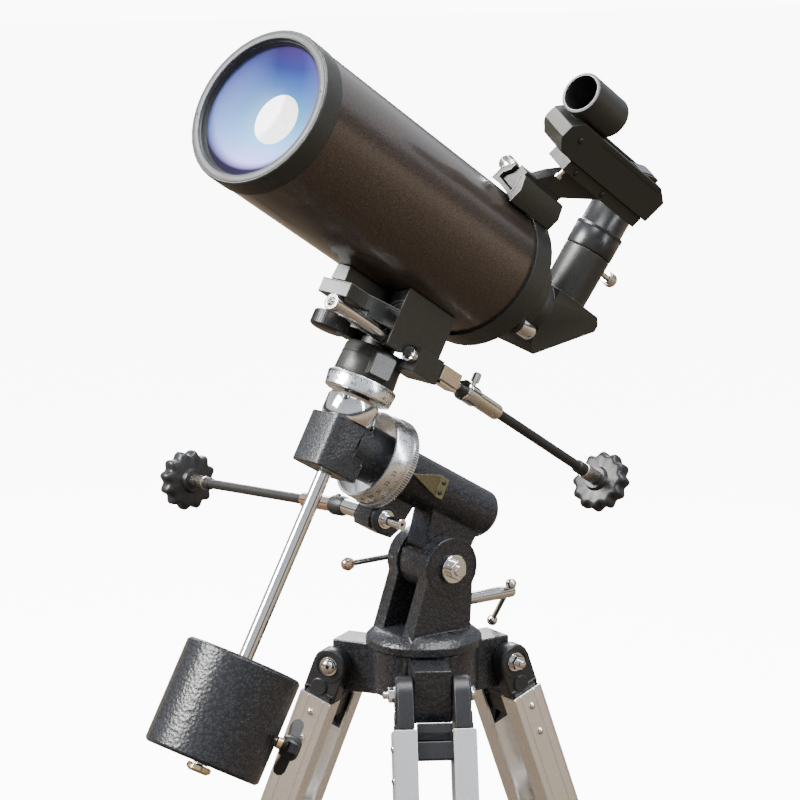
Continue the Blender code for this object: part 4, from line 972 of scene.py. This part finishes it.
# ------------------------------------------------------------------ tripod hardware
def make_leg_hardware(key):
    """Bolt, nut, rivets, plastic bosses and bridge of one leg, and its rails' ribs."""
    body, place = BODY_OF["leg_%s_yoke" % key], facing(LEG[key], "Y")
    name = "leg_%s_" % key
    build(name + "nut", place, prism_shape(circle_points(5.4, 6), -29.6, -25.2), body, "chrome", width=0.4)
    stud = [(-33.4, 0), (-33.4, 1.9), (-32.8, 2.7), (-29.5, 2.7), (-29.5, 0)]
    build(name + "stud", place, lathe_shape(stud, 24), body, "chrome")
    head = [(25.2, 0), (25.2, 5.2), (27.4, 5.0), (28.8, 3.6), (29.4, 0)]
    build(name + "bolt_head", place, lathe_shape(head, 28), body, "chrome")
    washers = joined(*[collar_shape(low, low + 0.9, 2.9, 6.6, 0.2) for low in (-25.4, 24.5)])
    build(name + "washers", place, washers, body, "chrome")
    rings = joined(*[collar_shape(low, low + 0.8, 8.6, 11.6, 0.3, 48) for low in (-25.2, 24.4)])
    build(name + "ear_rings", place, rings, body, "leg_plastic")
    bosses = [(disc_shape(24.3, 25.8, 6.2, 0.6, 40),
               spin(side, "X") @ shift(-17.0, 1.5, 0)) for side in (0, 180)]
    build(name + "ear_bosses", place, several(bosses), body, "leg_plastic")
    dome = [(27.0, 0), (27.0, 2.7), (27.9, 2.5), (28.9, 1.5), (29.2, 0)]
    rivets = [(lathe_shape(dome, 20), spin(side, "X") @ shift(along, 0, 0)) for side in (0, 180)
              for along in (-36.0, -57.0)]
    build(name + "rivets", place, several(rivets), body, "chrome")
    bridge = box_shape((0, 0, -28.4), (17.6, 23.6, 6.2))
    build(name + "bridge", LEG[key], bridge, body, "leg_plastic", width=0.8)
    front = box_shape((6.7, 0, -25.6), (4.2, 23.4, 11.8))
    build(name + "bridge_front", LEG[key], front, body, "leg_plastic", width=0.8)
    rail_low, rail_high = -454.0, -25.0
    middle, length = (rail_low + rail_high) / 2, rail_high - rail_low
    ribs = [(BOX, shift(x, y, middle) @ block(1.1, 0.7, length)) for y in (-27.3, 27.3)
            for x in (-11.4, -6.2, 5.6, 11.4)]
    ribs += [(BOX, shift(x, y, middle) @ block(0.7, 1.0, length)) for x in (-12.6, 12.6)
             for y in (-25.6, -20.4, -14.2, 14.2, 20.4, 25.6)]
    build(name + "rail_ribs", LEG[key], several(ribs), body, "leg_aluminium")


def make_counterweight_details():
    """Stud of the counterweight's knob and ribs of the shaft's end screw."""
    lock = facing(turned_frame(moved(DEC, 0, 0, -199.0), 150.1, "Z"), "X")
    build("weight_knob_stud", lock, collar_shape(40.3, 44.2, 2.8, 3.9, 0.3, 28),
          BODY_OF["counterweight_knob"], "brass_screw")
    build("weight_end_knurl", DEC, knurl_shape(-235.2, -232.5, 8.1, 32, 0.5), BODY_OF["shaft_end_screw"],
          "brass_screw")


make_camera()
make_world()
make_stage()
area_light("key", (-2.6, 0.9, 3.0), CROSSING, 400, 1.6, 1.6, (1.0, 0.985, 0.96))
area_light("overhead", (0.4, -0.6, 3.4), CROSSING, 120, 2.6, 1.2)
area_light("strip_near", (0.9, -2.2, 2.2), CROSSING, 46, 0.35, 2.2, (0.95, 0.98, 1.0))
area_light("back", (1.6, 2.6, 2.4), CROSSING, 90, 1.4, 1.4)
dress_all()
make_corrector()
make_secondary()
lobed_wheel("ra_hand", CABLE, 191.3, BODY_OF["ra_knob"], "ra_knob")
lobed_wheel("dec_hand", DEC_CABLE, 180.3, BODY_OF["dec_knob"], "dec_knob")
make_ra_circle()
make_dec_circle()
make_front_ring()
make_focuser()
make_eyepiece()
make_finder()
make_saddle()
make_dec_drive()
make_ra_details()
make_altitude()
for key in LEGS:
    make_leg_hardware(key)
make_counterweight_details()
